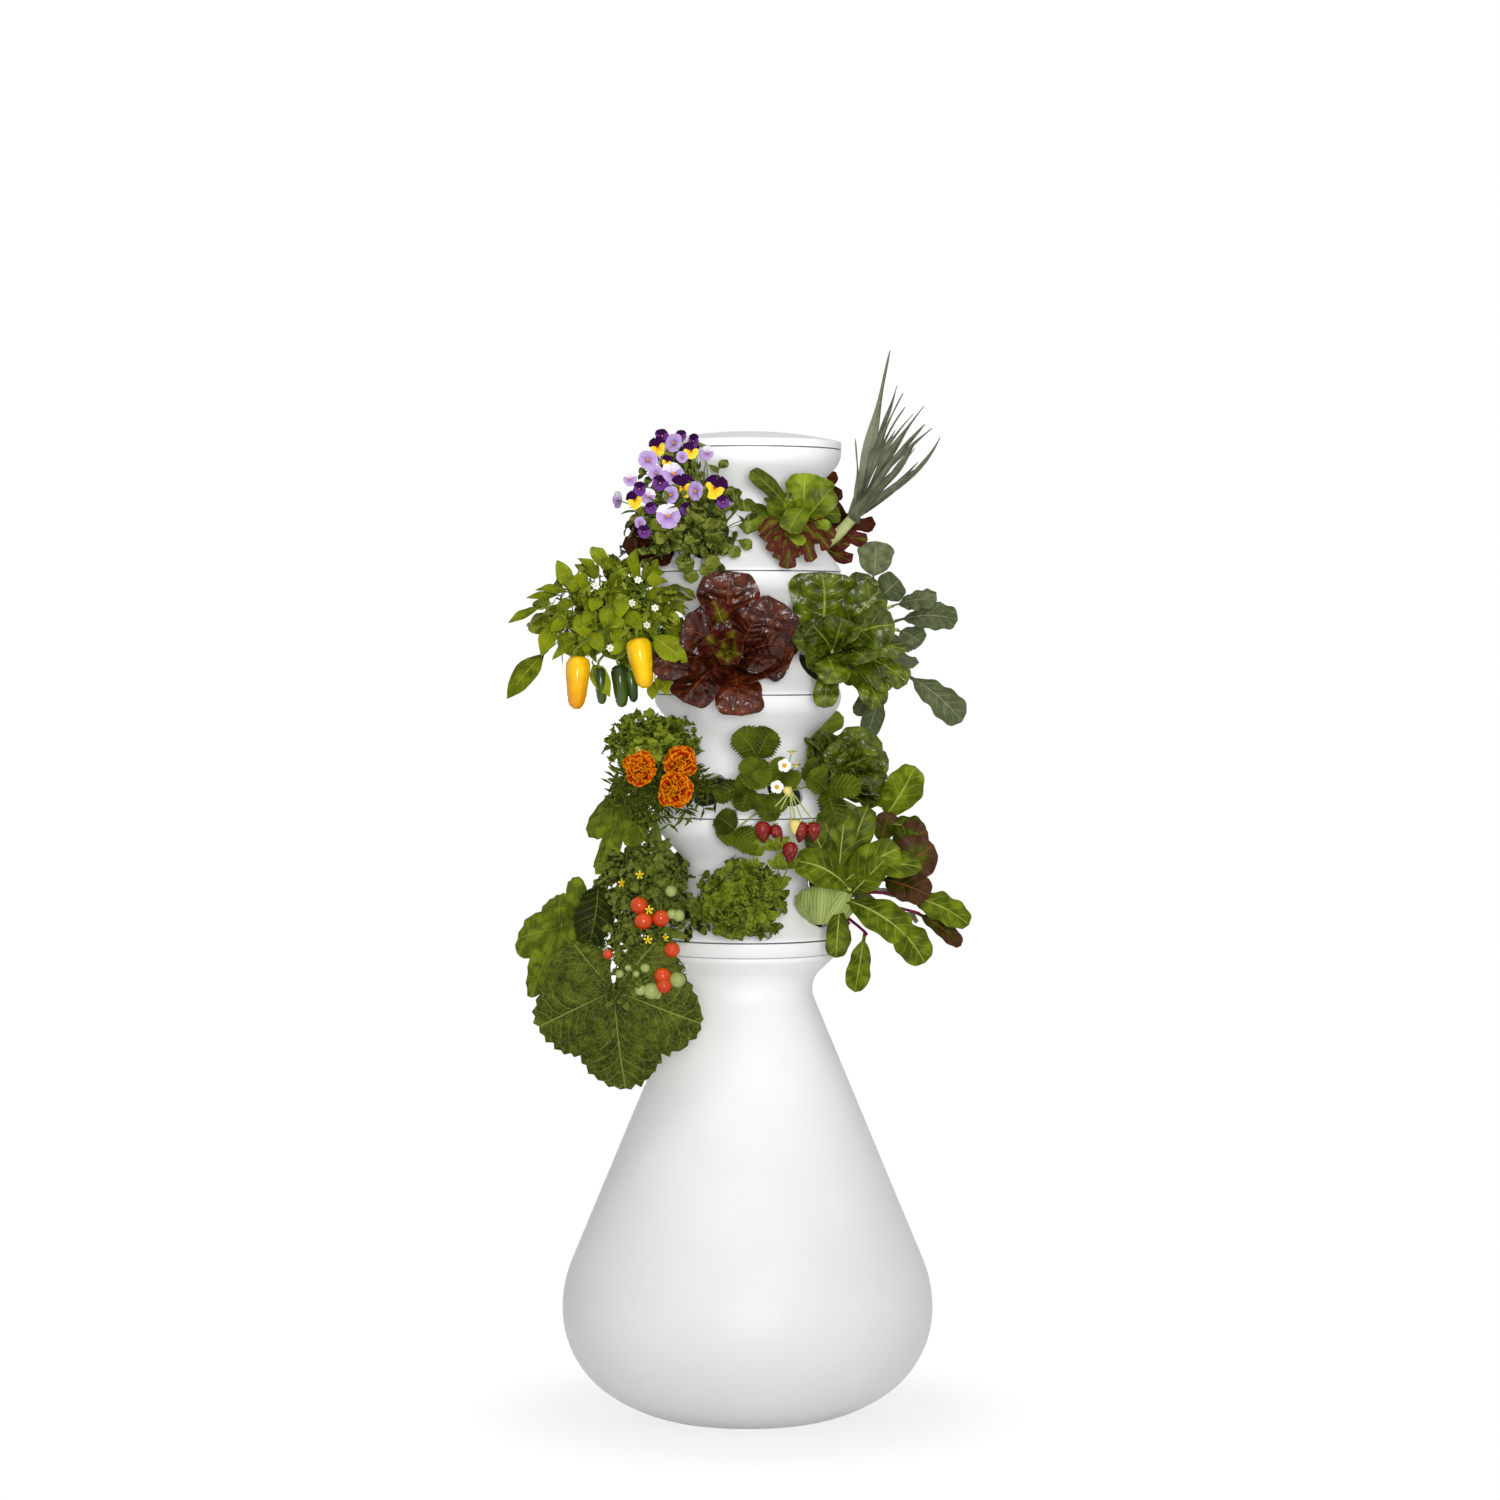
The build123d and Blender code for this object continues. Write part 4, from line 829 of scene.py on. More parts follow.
PETAL = painted_finish("flower_petal", 0.6, 0.0, 0.16, 420.0, 0.25, 0.05)
FRUIT = painted_finish("fruit_skin", 0.2, 0.1, 0.14, 90.0, 0.08, 0.25)
BERRY = berry_finish()

OVAL = Leaf(0.62, 0.6, 0.5, 0.28, 0.05, 0.15, rows=6, cols=2)
ROMAINE = Leaf(0.86, 0.62, 0.26, 0.0, 0.1, 0.05, -0.1, 0.022, 3.5, 0.028, 7, rows=30, cols=18)
BUTTER = Leaf(0.6, 0.7, 0.32, 0.1, 0.09, 0.16, -0.05, 0.02, 2.5, 0.012, 6, rows=20, cols=10)
FRILLED = Leaf(0.75, 0.7, 0.28, 0.05, 0.1, 0.12, 0.0, 0.07, 6, 0.01, 5, rows=24, cols=12)
OAK = Leaf(0.62, 0.7, 0.35, 0.12, 0.07, 0.1, 0.0, 0.05, 4, 0.008, 5, lobes=2.5, notch=0.42, rows=26, cols=10)
POINTED = Leaf(0.42, 0.72, 1.05, 0.14, 0.035, 0.22, -0.1, 0.025, 2, 0.0, rows=10, cols=4)
COLLARD = Leaf(0.5, 0.6, 0.36, 0.22, 0.05, 0.08, -0.08, 0.03, 4.5, 0.010, 7, rows=24, cols=10)
BLADE = Leaf(0.055, 0.16, 0.75, 0.0, 0.04, 0.45, 0.0, 0.0, rows=20, cols=4, thick=0.001)
LEAFLET = Leaf(0.78, 0.55, 0.42, 0.02, 0.03, 0.2, -0.05, 0.01, 3, 0.012, 8, bite=0.22, rows=24, cols=10)
SAVOY = Leaf(0.8, 0.55, 0.3, 0.12, 0.06, 0.1, -0.25, 0.025, 3, 0.045, 5, rows=26, cols=16)
CHARD = Leaf(0.52, 0.6, 0.42, 0.14, 0.06, 0.1, -0.05, 0.03, 4, 0.016, 7, rows=26, cols=12)
BOK_CHOY = Leaf(0.55, 0.6, 0.36, 0.1, 0.09, 0.1, -0.08, 0.015, 2.5, 0.006, 6, rows=22, cols=10)
SERRATED = Leaf(0.6, 0.55, 0.95, 0.05, 0.04, 0.35, -0.15, 0.015, 2, 0.02, 5, bite=0.12, rows=8, cols=4)
FEATHER = Leaf(0.22, 0.6, 0.9, 0.05, 0.03, 0.2, 0.0, 0.02, 2, rows=5, cols=2)

piece_makers = []


def plant(node, tier, azimuth, slot):
    """Registers the maker of one plant, with its port. Its place in the list gives it its own fixed seed."""
    def keep(maker):
        piece_makers.append((node, Port(tier, azimuth), slot, maker))
        return maker
    return keep


def leafy(node, tier, azimuth, slot, kind, finish, elevation, rings, arch=55.0, rows=(), shown=None,
          stalk=None):
    """Registers a plant of one kind of leaf: those that show, by rows, then rings of them round its root."""
    @plant(node, tier, azimuth, slot)
    def maker(port, rng):
        f = Foliage()
        seen_leaves(f, shown or kind, finish, rows, rng, stalk and (port.root, *stalk))
        rosette(f, kind, port, elevation, finish, rings, rng, arch)
        return {"leaves": f.mesh(f"{node}_leaves")}


def paired(angle, *petal):
    return [(-angle, *petal), (angle, *petal)]


def whorl(count, *petal):
    return [(turn, *petal) for turn in range(0, 360, 360 // count)]


def flower_shape(name, petals, eye, eye_size, eye_lift):
    """A flower facing Z: petals (angle, length, width, rise, inner and outer colour) round a turned eye."""
    points, faces, paint = [], [], []
    size = 0
    for angle, length, width, rise, inner, outer in petals:
        turn = radians(angle)
        ahead = np.array([sin(turn), cos(turn), 0.0])
        kind = Leaf(width / length, 0.55, 0.22, 0.0, 0.06, 0.05, -0.15, 0.03, 2, rows=6, cols=4, thick=0.012)
        shell = leaf_shell(kind, ahead * 0.02, ahead * length + UP * rise, UP, 25)
        core = (1 - shell[2][:, 1:2]) ** 2.4
        points.append(shell[0])
        faces.extend(tuple(int(i) + size for i in f) for f in shell[1])
        paint.append(np.asarray(inner)[None, :3] * core + np.asarray(outer)[None, :3] * (1 - core))
        size += len(shell[0])
    profile = [(0, eye_lift - eye_size * 0.4), (eye_size * 0.8, eye_lift - eye_size * 0.2),
               (eye_size, eye_lift),
               (eye_size * 0.6, eye_lift + eye_size * 0.5), (0, eye_lift + eye_size * 0.6)]
    ball, ball_faces = turned_shell(profile, sides=8)
    points.append(ball)
    faces.extend(tuple(i + size for i in f) for f in ball_faces)
    paint.append(np.broadcast_to(np.asarray(eye)[:3], ball.shape))
    return mesh_of(name, np.vstack(points), faces, None, np.vstack(paint))


def ball_profile(radius, length, blunt=1.0, rings=9):
    """Radius and height pairs of an egg: blunt below 1 narrows the lower end."""
    pairs = []
    for k in range(rings + 1):
        turn = pi * k / rings
        height = -cos(turn) * length / 2
        narrow = blunt + (1 - blunt) * (1 - cos(turn)) / 2
        pairs.append((radius * sin(turn) * narrow, height))
    return pairs


def hung_fruit(foliage, top, bottom, profile, finish, paint, lobes=0, lobe_depth=0.0, bow=0.0, sides=18):
    """A fruit from its stalk end to its tip, in two colours. The profile's top is the stalk end."""
    points, faces = turned_shell(profile, lobes, lobe_depth, sides, bow)
    length = points[:, 2].max() - points[:, 2].min()
    upward = np.asarray(top, float) - np.asarray(bottom, float)
    scale = np.linalg.norm(upward) / length
    share = (points[:, 2:] - points[:, 2].min()) / length
    ahead = unit(np.cross(upward, TOWARDS_VIEWER + 0.01))
    middle = (np.asarray(top) + np.asarray(bottom)) / 2
    placed = middle + (points * scale) @ np.array(facing(ahead, upward))
    colours = np.asarray(paint[0])[None, :3] * (1 - share) + np.asarray(paint[1])[None, :3] * share
    uv = np.full((len(points), 2), 0.75)
    foliage.add((placed, faces, uv, np.zeros(len(points))), finish, 0.5, colours)


def stem(foliage, path, thick, thin, sides=7, count=10, finish=GREEN_STEM, tint=0.5):
    foliage.add(stem_shell(path, thick, thin, sides, count), finish, tint)


def arched(root, end, bend):
    """A path from root to end that is bent at its middle."""
    return [root, (root + end) / 2 + bend, end]


def nearest(roots, place):
    return min(roots, key=lambda root: np.linalg.norm(root - place))


def petiole(foliage, root, place):
    """The thin stalk that joins a small leaf to the stem it grows from."""
    stem(foliage, arched(root, place, UP * 0.006), 0.0009, 0.0006, 4, 5, tint=0.4)


def flower_stem(foliage, root, place, face):
    """A thin stem from a plant's root or fork to the back of a flower."""
    stem(foliage, arched(root, place - unit(face) * 0.003, UP * 0.006), 0.0011, 0.0008, 5, 7)


def bush(leaves, stems, roots, spots, sizes, picks, rng, lift=0.6, spread=0.3):
    """Small leaves over a mound's spots, each on a petiole from the nearest root."""
    for place, outward, tint in spots:
        leaves.add(place, *lie(outward, rng, lift, spread), rng.uniform(*sizes), rng.integers(picks), tint)
        petiole(stems, nearest(roots, place), place)


def calyx(foliage, place, upward, length, finish, rng, count, reflex):
    """Small sepals round a fruit's stalk end, bent back past 90 degrees."""
    side = unit(np.cross(upward, [0.3, 0.8, 0.52]))
    other = np.cross(unit(upward), side)
    kind = Leaf(0.32, 0.5, 0.9, 0.0, 0.1, 0.2, rows=5, cols=2)
    for k in range(count):
        turn = 2 * pi * k / count + rng.normal(0, 0.15)
        away = side * cos(turn) + other * sin(turn)
        tip = place + away * length * 0.9 - unit(upward) * length * (reflex - 90) / 90
        foliage.add(leaf_shell(kind, place, tip, upward, -40, 1.0, 0, 0, rng), finish)


@plant("viola", 4, -30, "leaf_green")
def viola(port, rng):
    leaves, blooms, stems = Scatter(), Scatter(), Foliage()
    centre = sighted(684, 520, -0.125)
    spots = mound(centre, (0.074, 0.048, 0.052), VIEW_AXES, 300, rng, -0.9, 0.7)
    bush(leaves, stems, [port.root], spots, (0.017, 0.029), 3, rng)
    spots = mound(sighted(676, 480, -0.105), (0.050, 0.030, 0.062), VIEW_AXES, 110, rng, -0.8, 0.8)
    bush(leaves, stems, [port.root], spots, (0.015, 0.024), 3, rng)
    front = [(737, 510), (729, 500), (718, 470), (740, 521), (735, 540), (727, 545), (712, 558), (701, 562),
             (706, 553), (684, 556), (655, 556), (650, 548), (690, 565), (716, 540), (735, 526)]
    for column, row in front:
        place = sighted(column, row, -0.15 + rng.normal(0, 0.01))
        leaves.add(place, place - centre + rng.normal(0, 0.01, 3), LEAF_FACE + rng.normal(0, 0.2, 3),
                   rng.uniform(0.02, 0.03), rng.integers(3), rng.uniform(0.3, 0.9))
        petiole(stems, port.root, place)
    violet, deep, lilac = shade(112, 62, 142), shade(48, 12, 60), shade(190, 164, 212)
    snow, gold, sun = shade(238, 232, 244), shade(236, 160, 12), shade(250, 222, 78)
    shapes = [
        flower_shape("lilac_viola", paired(35, 0.52, 0.52, 0.02, violet, lilac) +
                     paired(100, 0.5, 0.5, 0.06, violet, lilac) + [(180, 0.5, 0.62, 0.07, deep, lilac)],
                     gold, 0.07, 0.06),
        flower_shape("two_colour_viola", paired(38, 0.58, 0.6, 0.0, deep, deep) +
                     paired(105, 0.44, 0.44, 0.06, gold, sun) + [(180, 0.5, 0.58, 0.08, gold, sun)],
                     shade(150, 80, 20), 0.06, 0.07),
        flower_shape("white_viola", paired(35, 0.52, 0.52, 0.02, lilac, snow) +
                     paired(100, 0.5, 0.5, 0.06, violet, lilac) + [(180, 0.52, 0.64, 0.07, violet, lilac)],
                     gold, 0.07, 0.06),
        flower_shape("purple_viola", paired(35, 0.5, 0.52, 0.02, deep, deep) +
                     paired(100, 0.46, 0.46, 0.06, deep, violet) + [(180, 0.46, 0.56, 0.07, deep, violet)],
                     gold, 0.05, 0.06),
    ]
    seen = [(658, 447, 1, 0.026), (674, 443, 0, 0.027), (691, 451, 1, 0.024), (694, 441, 3, 0.022),
            (707, 453, 2, 0.021), (648, 460, 0, 0.028), (673, 474, 2, 0.034), (656, 473, 0, 0.022),
            (630, 479, 2, 0.020), (683, 487, 1, 0.033), (671, 495, 0, 0.025), (696, 491, 0, 0.027),
            (715, 488, 1, 0.034), (723, 502, 3, 0.020), (635, 500, 1, 0.026), (648, 496, 2, 0.022),
            (668, 516, 2, 0.035), (686, 509, 3, 0.020), (644, 532, 3, 0.020), (640, 523, 0, 0.018),
            (682, 457, 0, 0.017), (662, 436, 3, 0.022), (681, 436, 3, 0.018), (660, 483, 3, 0.024),
            (640, 489, 3, 0.022), (651, 508, 3, 0.018), (667, 462, 1, 0.018)]
    for column, row, pick, size in seen:
        place = sighted(column, row, -0.182 + 0.0006 * (520 - row) + rng.normal(0, 0.004))
        face = unit([rng.normal(-0.15, 0.4), -1.0, rng.normal(0.25, 0.35)])
        blooms.add(place, UP + rng.normal(0, 0.2, 3), face, size, pick)
        foot = port.root + rng.normal(0, 0.006, 3)
        middle = (place + port.root) / 2 + UP * 0.02 + port.out * 0.015
        stem(stems, [foot, middle, place - face * 0.002], 0.0011, 0.0008, 5, 7)
    for _ in range(10):
        place = centre + rng.normal(0, 0.03, 3)
        place = place - TOWARDS_VIEWER * rng.uniform(0.02, 0.05) + UP * rng.uniform(0.02, 0.06)
        face = [rng.normal(0, 1), 0.6, 0.6]
        blooms.add(place, UP, face, 0.024, rng.integers(4))
        flower_stem(stems, port.root, place, face)
    small = leaf_shapes("viola_leaf", OVAL, (25, 10, 0.04), (45, -15, -0.05))
    small += leaf_shapes("broad_viola_leaf", replace(OVAL, width=0.75, stalk=0.2), (15, 5, 0.0), seed=5)
    return {"leaves": leaves.mesh("viola_leaves", small, VIOLA_LEAF), "stems": stems.mesh("viola_stems"),
            "flowers": blooms.mesh("viola_flowers", shapes, PETAL)}


@plant("mixed_lettuce", 4, 30, "leaf_green")
def mixed_lettuce(port, rng):
    f = Foliage()
    heart = (787, 522, -0.125)
    butter, lime, frilled = (BUTTER, BUTTER_GREEN), (BUTTER, LIME_GREEN), (FRILLED, LIME_GREEN)
    rows = [(butter, (790, 512, -0.13), (750, 471, -0.165), 0.027, 75, (-0.5, -1, 0.75), 0.45),
            (butter, heart, (743, 532, -0.16), 0.018, 60, (0, -1, 0.5), 0.75),
            (butter, heart, (767, 503, -0.15), 0.022, 50, LEAF_FACE, 0.7),
            (butter, heart, (757, 522, -0.155), 0.024, 45, LEAF_FACE, 0.7),
            (frilled, (806, 520, -0.13), (806, 473, -0.15), 0.050, 45, (-0.1, -1, 0.25), 0.6),
            (frilled, (812, 515, -0.125), (826, 478, -0.14), 0.034, 40, (0.2, -1, 0.2), 0.5),
            (butter, (799, 528, -0.135), (832, 488, -0.16), 0.040, 45, (0.15, -1, 0.3), 0.7),
            (butter, (810, 505, -0.14), (789, 533, -0.175), 0.036, 70, (-0.1, -1, 0.6), 0.75),
            (butter, heart, (781, 493, -0.15), 0.030, 60, LEAF_FACE, 0.5),
            (butter, heart, (841, 515, -0.12), 0.030, 60, (0.4, -1, 0.5), 0.4),
            (lime, (800, 525, -0.14), (830, 528, -0.165), 0.018, 60, LEAF_FACE, 0.6),
            (lime, (786, 535, -0.135), (803, 545, -0.175), 0.020, 70, (0, -1, 0.8), 0.5)]
    for look, base, tip, width, arch, face, tint in rows:
        seen_leaf(f, *look, base, tip, width, arch, face, rng, tint)
    bronze = [(764, 541, 0.030), (770, 552, 0.026), (787, 569, 0.036), (779, 560, 0.030), (812, 562, 0.028),
              (829, 549, 0.034), (818, 540, 0.030), (800, 556, 0.028), (835, 538, 0.026), (760, 534, 0.022)]
    for column, row, width in bronze:
        seen_leaf(f, OAK, BRONZE_LEAF, heart, (column, row, -0.165), width, 85, (0, -1, 0.75), rng)
    rosette(f, BUTTER, port, 55, BUTTER_GREEN, [(9, 48, 0.066, 20), (6, 22, 0.058)], rng)
    return {"leaves": f.mesh("mixed_lettuce_leaves")}


@plant("leek", 4, 90, "leaf_grey_green")
def leek(port, rng):
    f = Foliage()
    neck = sighted(852, 519, -0.03)
    stem(f, arched(port.root, neck, UP * -0.004), 0.009, 0.0075, 10, finish=LEEK_SHANK, tint=0.6)
    tips = [(890, 350, -0.02, 0.016, 6), (903, 393, -0.06, 0.010, 8), (924, 406, 0.0, 0.012, 14),
            (913, 414, -0.04, 0.008, 10), (925, 424, -0.08, 0.013, 12), (932, 428, -0.03, 0.006, 18),
            (905, 407, 0.02, 0.009, 6), (897, 385, 0.05, 0.008, 2), (940, 437, -0.05, 0.007, -60),
            (855, 439, -0.05, 0.005, -16), (916, 440, -0.09, 0.014, -26), (918, 462, 0.03, 0.013, -20),
            (895, 430, 0.06, 0.011, 4), (915, 448, 0.07, 0.012, -14), (913, 470, -0.05, 0.014, -34)]
    for column, row, depth, width, arch in tips:
        base = (852 + rng.normal(0, 2), 519 + rng.normal(0, 2), -0.03)
        seen_leaf(f, BLADE, LEEK_LEAF, base, (column, row, depth), width * 1.1, arch, (-0.6, -0.75, 0.2), rng)
    return {"leaves": f.mesh("leek_leaves")}


@plant("red_oak_lettuce", 4, 150, "leaf_red")
def red_oak_lettuce(port, rng):
    f = Foliage()
    root = port.at(0, 0.01, 0.012)
    tips = [(836, 472, 0.06, 0.034), (842, 490, 0.05, 0.030), (838, 508, 0.03, 0.034),
            (876, 524, 0.05, 0.036),
            (868, 540, 0.03, 0.034), (852, 562, 0.02, 0.036), (850, 545, 0.03, 0.036),
            (858, 520, 0.07, 0.036)]
    for column, row, depth, width in tips:
        tip = sighted(column, row, depth)
        share = width / np.linalg.norm(tip - root) / OAK.width
        shell = leaf_shell(OAK, root, tip, LEAF_FACE, 35, share, 0, 0, rng)
        f.add(shell, DARK_RED_LEAF if row < 530 else BRONZE_LEAF, rng.uniform(0.3, 0.8))
    rosette(f, OAK, port, 55, DARK_RED_LEAF, [(10, 62, 0.105), (8, 35, 0.095, 20)], rng)
    return {"leaves": f.mesh("red_oak_lettuce_leaves")}


DARK_RED_TIPS = [(626, 553, 0.034), (640, 563, 0.036), (652, 562, 0.034), (630, 540, 0.030),
                 (645, 538, 0.03), (660, 566, 0.03)]
leafy("dark_red_lettuce", 4, -90, "leaf_red", FRILLED, DARK_RED_LEAF, 55,
      [(9, 60, 0.075), (7, 30, 0.070, 20)],
      rows=[((672, 545), (column, row), -0.03, -0.06, width, 60, (-0.3, -1, 0.5), None)
            for column, row, width in DARK_RED_TIPS])


@plant("basil", 4, -150, "leaf_green")
def basil(port, rng):
    leaves, stems = Scatter(), Foliage()
    spots = mound(port.at(0, 0.045, 0.055), (0.052, 0.05, 0.055), port.axes, 150, rng, -0.7, 0.6)
    bush(leaves, stems, [port.root], spots, (0.022, 0.038), 2, rng, 0.5)
    shapes = leaf_shapes("basil_leaf", replace(OVAL, cup=-0.3, rows=8, cols=4), (35, 8, 0.0), seed=7)
    shapes += leaf_shapes("slim_basil_leaf", replace(OVAL, width=0.55, cup=-0.2, rows=8, cols=4),
                          (55, -8, 0.03), seed=8)
    return {"leaves": leaves.mesh("basil_leaves", shapes, MINT_LEAF), "stems": stems.mesh("basil_stems")}


@plant("pepper", 3, -60, "leaf_green")
def pepper(port, rng):
    leaves, f, blooms = Scatter(), Foliage(), Scatter()
    crown = sighted(640, 625, -0.09)
    ends = [(600, 605, -0.10), (575, 635, -0.12), (625, 580, -0.06), (650, 600, -0.12), (560, 600, -0.06),
            (610, 640, -0.15), (655, 640, -0.15), (590, 580, -0.02), (600, 620, 0.0), (630, 600, 0.02)]
    forks = [sighted(*end) for end in ends]
    stem(f, arched(port.root, crown, UP * 0.01), 0.0038, 0.003)
    for fork in forks:
        stem(f, arched(crown, fork, UP * 0.008), 0.0022, 0.0012, 6, 8)
    seen = [(548, 650, 507, 699, 0.034), (560, 616, 541, 656, 0.028), (542, 606, 508, 623, 0.015),
            (560, 595, 526, 598, 0.012), (570, 590, 535, 590, 0.013), (578, 640, 552, 660, 0.014),
            (575, 612, 590, 640, 0.026), (600, 596, 592, 612, 0.022), (612, 600, 604, 628, 0.022),
            (622, 598, 620, 618, 0.026), (595, 610, 583, 625, 0.018), (650, 634, 688, 664, 0.036),
            (660, 618, 685, 601, 0.018), (664, 626, 682, 652, 0.020), (592, 662, 610, 697, 0.026),
            (630, 575, 637, 548, 0.018), (600, 575, 588, 568, 0.020), (612, 570, 602, 558, 0.022),
            (640, 580, 628, 562, 0.02), (655, 590, 654, 570, 0.02), (590, 585, 572, 577, 0.022),
            (580, 590, 565, 582, 0.018), (645, 600, 662, 588, 0.018), (625, 610, 642, 630, 0.022),
            (560, 640, 575, 655, 0.02), (600, 640, 615, 660, 0.02), (575, 600, 557, 612, 0.022),
            (612, 590, 620, 574, 0.02), (570, 620, 550, 632, 0.02), (645, 615, 655, 635, 0.022),
            (605, 615, 618, 636, 0.024), (590, 630, 602, 652, 0.022), (655, 680, 652, 700, 0.018),
            (660, 672, 668, 696, 0.022), (645, 575, 665, 572, 0.018), (625, 640, 610, 655, 0.018)]
    for base_column, base_row, tip_column, tip_row, width in seen:
        depth = -0.15 + rng.normal(0, 0.018)
        base = sighted(base_column, base_row, depth)
        tip = sighted(tip_column, tip_row, depth - rng.uniform(0, 0.025))
        share = width / np.linalg.norm(tip - base) / POINTED.width
        face = [-0.25, -1, rng.uniform(0.2, 0.9)]
        shell = leaf_shell(POINTED, base, tip, face, rng.uniform(20, 60), share, 0.0, rng.normal(0, 15), rng)
        f.add(shell, PEPPER_LEAF, rng.uniform(0.4, 0.9))
        stem(f, arched(nearest(forks, base), base, UP * 0.004), 0.0011, 0.0008, 5, 6)
    spots = mound(sighted(613, 616, -0.08), (0.088, 0.062, 0.066), VIEW_AXES, 190, rng, -0.65, 0.75)
    bush(leaves, f, forks, spots, (0.034, 0.056), 3, rng)
    yellow, amber = shade(252, 200, 6), shade(236, 150, 4)
    green, dark_green = shade(72, 96, 34), shade(30, 50, 18)
    long_pod = [(0, -0.5), (0.06, -0.49), (0.12, -0.45), (0.16, -0.36), (0.185, -0.2), (0.205, 0.0),
                (0.225, 0.18), (0.23, 0.32), (0.2, 0.43), (0.12, 0.485), (0, 0.47)]
    pods = [((578, 656), (576, 709), (amber, yellow), 1.0), ((637, 638), (646, 688), (yellow, yellow), 1.05),
            ((619, 665), (622, 707), (green, dark_green), 0.9),
            ((600, 668), (602, 704), (green, dark_green), 0.8),
            ((630, 670), (634, 702), (dark_green, green), 0.85)]
    for top, bottom, paint, wide in pods:
        depth = -0.185 if paint[1] == yellow else -0.165
        head, foot = sighted(*top, depth), sighted(*bottom, depth)
        hung_fruit(f, head, foot, [(r * wide, h) for r, h in long_pod], FRUIT, paint, 3, 0.09, 0.05, 24)
        path = [head - UP * 0.003, head + UP * 0.012, crown + rng.normal(0, 0.012, 3)]
        stem(f, path, 0.0022, 0.0014, 6, 8)
        calyx(f, head, head - foot, 0.010, PEPPER_LEAF, rng, 5, 115)
    petals = whorl(6, 0.5, 0.3, 0.05, shade(222, 226, 190), shade(240, 240, 228))
    bell = [flower_shape("pepper_flower", petals, shade(150, 150, 70), 0.1, 0.05)]
    for column, row in ((610, 648), (647, 625), (638, 580), (632, 603), (596, 586), (655, 608)):
        place = sighted(column, row, -0.175)
        face = [rng.normal(0, 0.3), -1, -0.2]
        blooms.add(place, UP + rng.normal(0, 0.3, 3), face, 0.011)
        flower_stem(f, nearest(forks, place), place, face)
    small = leaf_shapes("pepper_leaf", POINTED, (40, 10, 0.03), (65, -20, -0.04))
    small += leaf_shapes("slim_pepper_leaf", replace(POINTED, width=0.36), (20, 25, 0.06), seed=5)
    return {"leaves": leaves.mesh("pepper_leaves", small, PEPPER_LEAF), "fruit": f.mesh("pepper_fruit"),
            "flowers": blooms.mesh("pepper_flowers", bell, PETAL)}


WIDE_ROMAINE = replace(ROMAINE, width=0.95)


@plant("red_romaine", 3, 0, "leaf_red")
def red_romaine(port, rng):
    f = Foliage()
    rows = [((742, 655), (785, 604), -0.13, -0.175, 0.072, 45, (0.35, -1, 0.2), 0.5),
            ((745, 655), (786, 645), -0.135, -0.180, 0.050, 55, (0.3, -1, 0.5), 0.35),
            ((724, 662), (653, 672), -0.135, -0.195, 0.060, 55, (-0.2, -1, 0.75), 0.5),
            ((726, 665), (685, 703), -0.135, -0.195, 0.068, 60, (-0.15, -1, 0.75), 0.4),
            ((730, 650), (681, 628), -0.135, -0.185, 0.058, 55, (-0.3, -1, 0.35), 0.5),
            ((736, 668), (742, 716), -0.13, -0.185, 0.068, 85, (0.05, -1, 0.6), 0.85),
            ((752, 660), (783, 678), -0.13, -0.16, 0.028, 70, (0.2, -1, 0.4), 0.4),
            ((738, 662), (768, 668), -0.14, -0.20, 0.050, 65, (0.2, -1, 0.7), 0.45),
            ((730, 655), (703, 604), -0.14, -0.165, 0.048, 35, (-0.2, -1, 0.1), 0.3),
            ((738, 650), (758, 610), -0.14, -0.175, 0.050, 35, (0.2, -1, 0.15), 0.4),
            ((727, 640), (713, 600), -0.145, -0.172, 0.034, 30, (0, -1, 0.1), 0.7, RED_HEART)]
    stalked = [((728, 640), (728, 571), -0.13, -0.160, 0.083, 20, (-0.1, -1, 0.05), 0.55)]
    seen_leaves(f, WIDE_ROMAINE, RED_LEAF, stalked, rng, (port.root, PALE_STEM, 0.003))
    seen_leaves(f, WIDE_ROMAINE, RED_LEAF, rows, rng)
    middle_column, middle_row = 727, 652
    heart = [(706, 636, 0.036), (716, 656, 0.034), (735, 630, 0.034), (742, 655, 0.036), (728, 664, 0.030),
             (722, 640, 0.030)]
    for column, row, width in heart:
        away = np.array([(middle_column - column) * 0.02, -0.5, (row - middle_row) * 0.02])
        seen_leaf(f, WIDE_ROMAINE, RED_HEART, (middle_column, middle_row, -0.135), (column, row, -0.205),
                  width, 45,
                  away + [0.01, 0, 0.01], rng, 0.55)
    rosette(f, ROMAINE, port, 38, RED_LEAF, [(8, 52, 0.078, 22)], rng, 50)
    return {"leaves": f.mesh("red_romaine_leaves")}


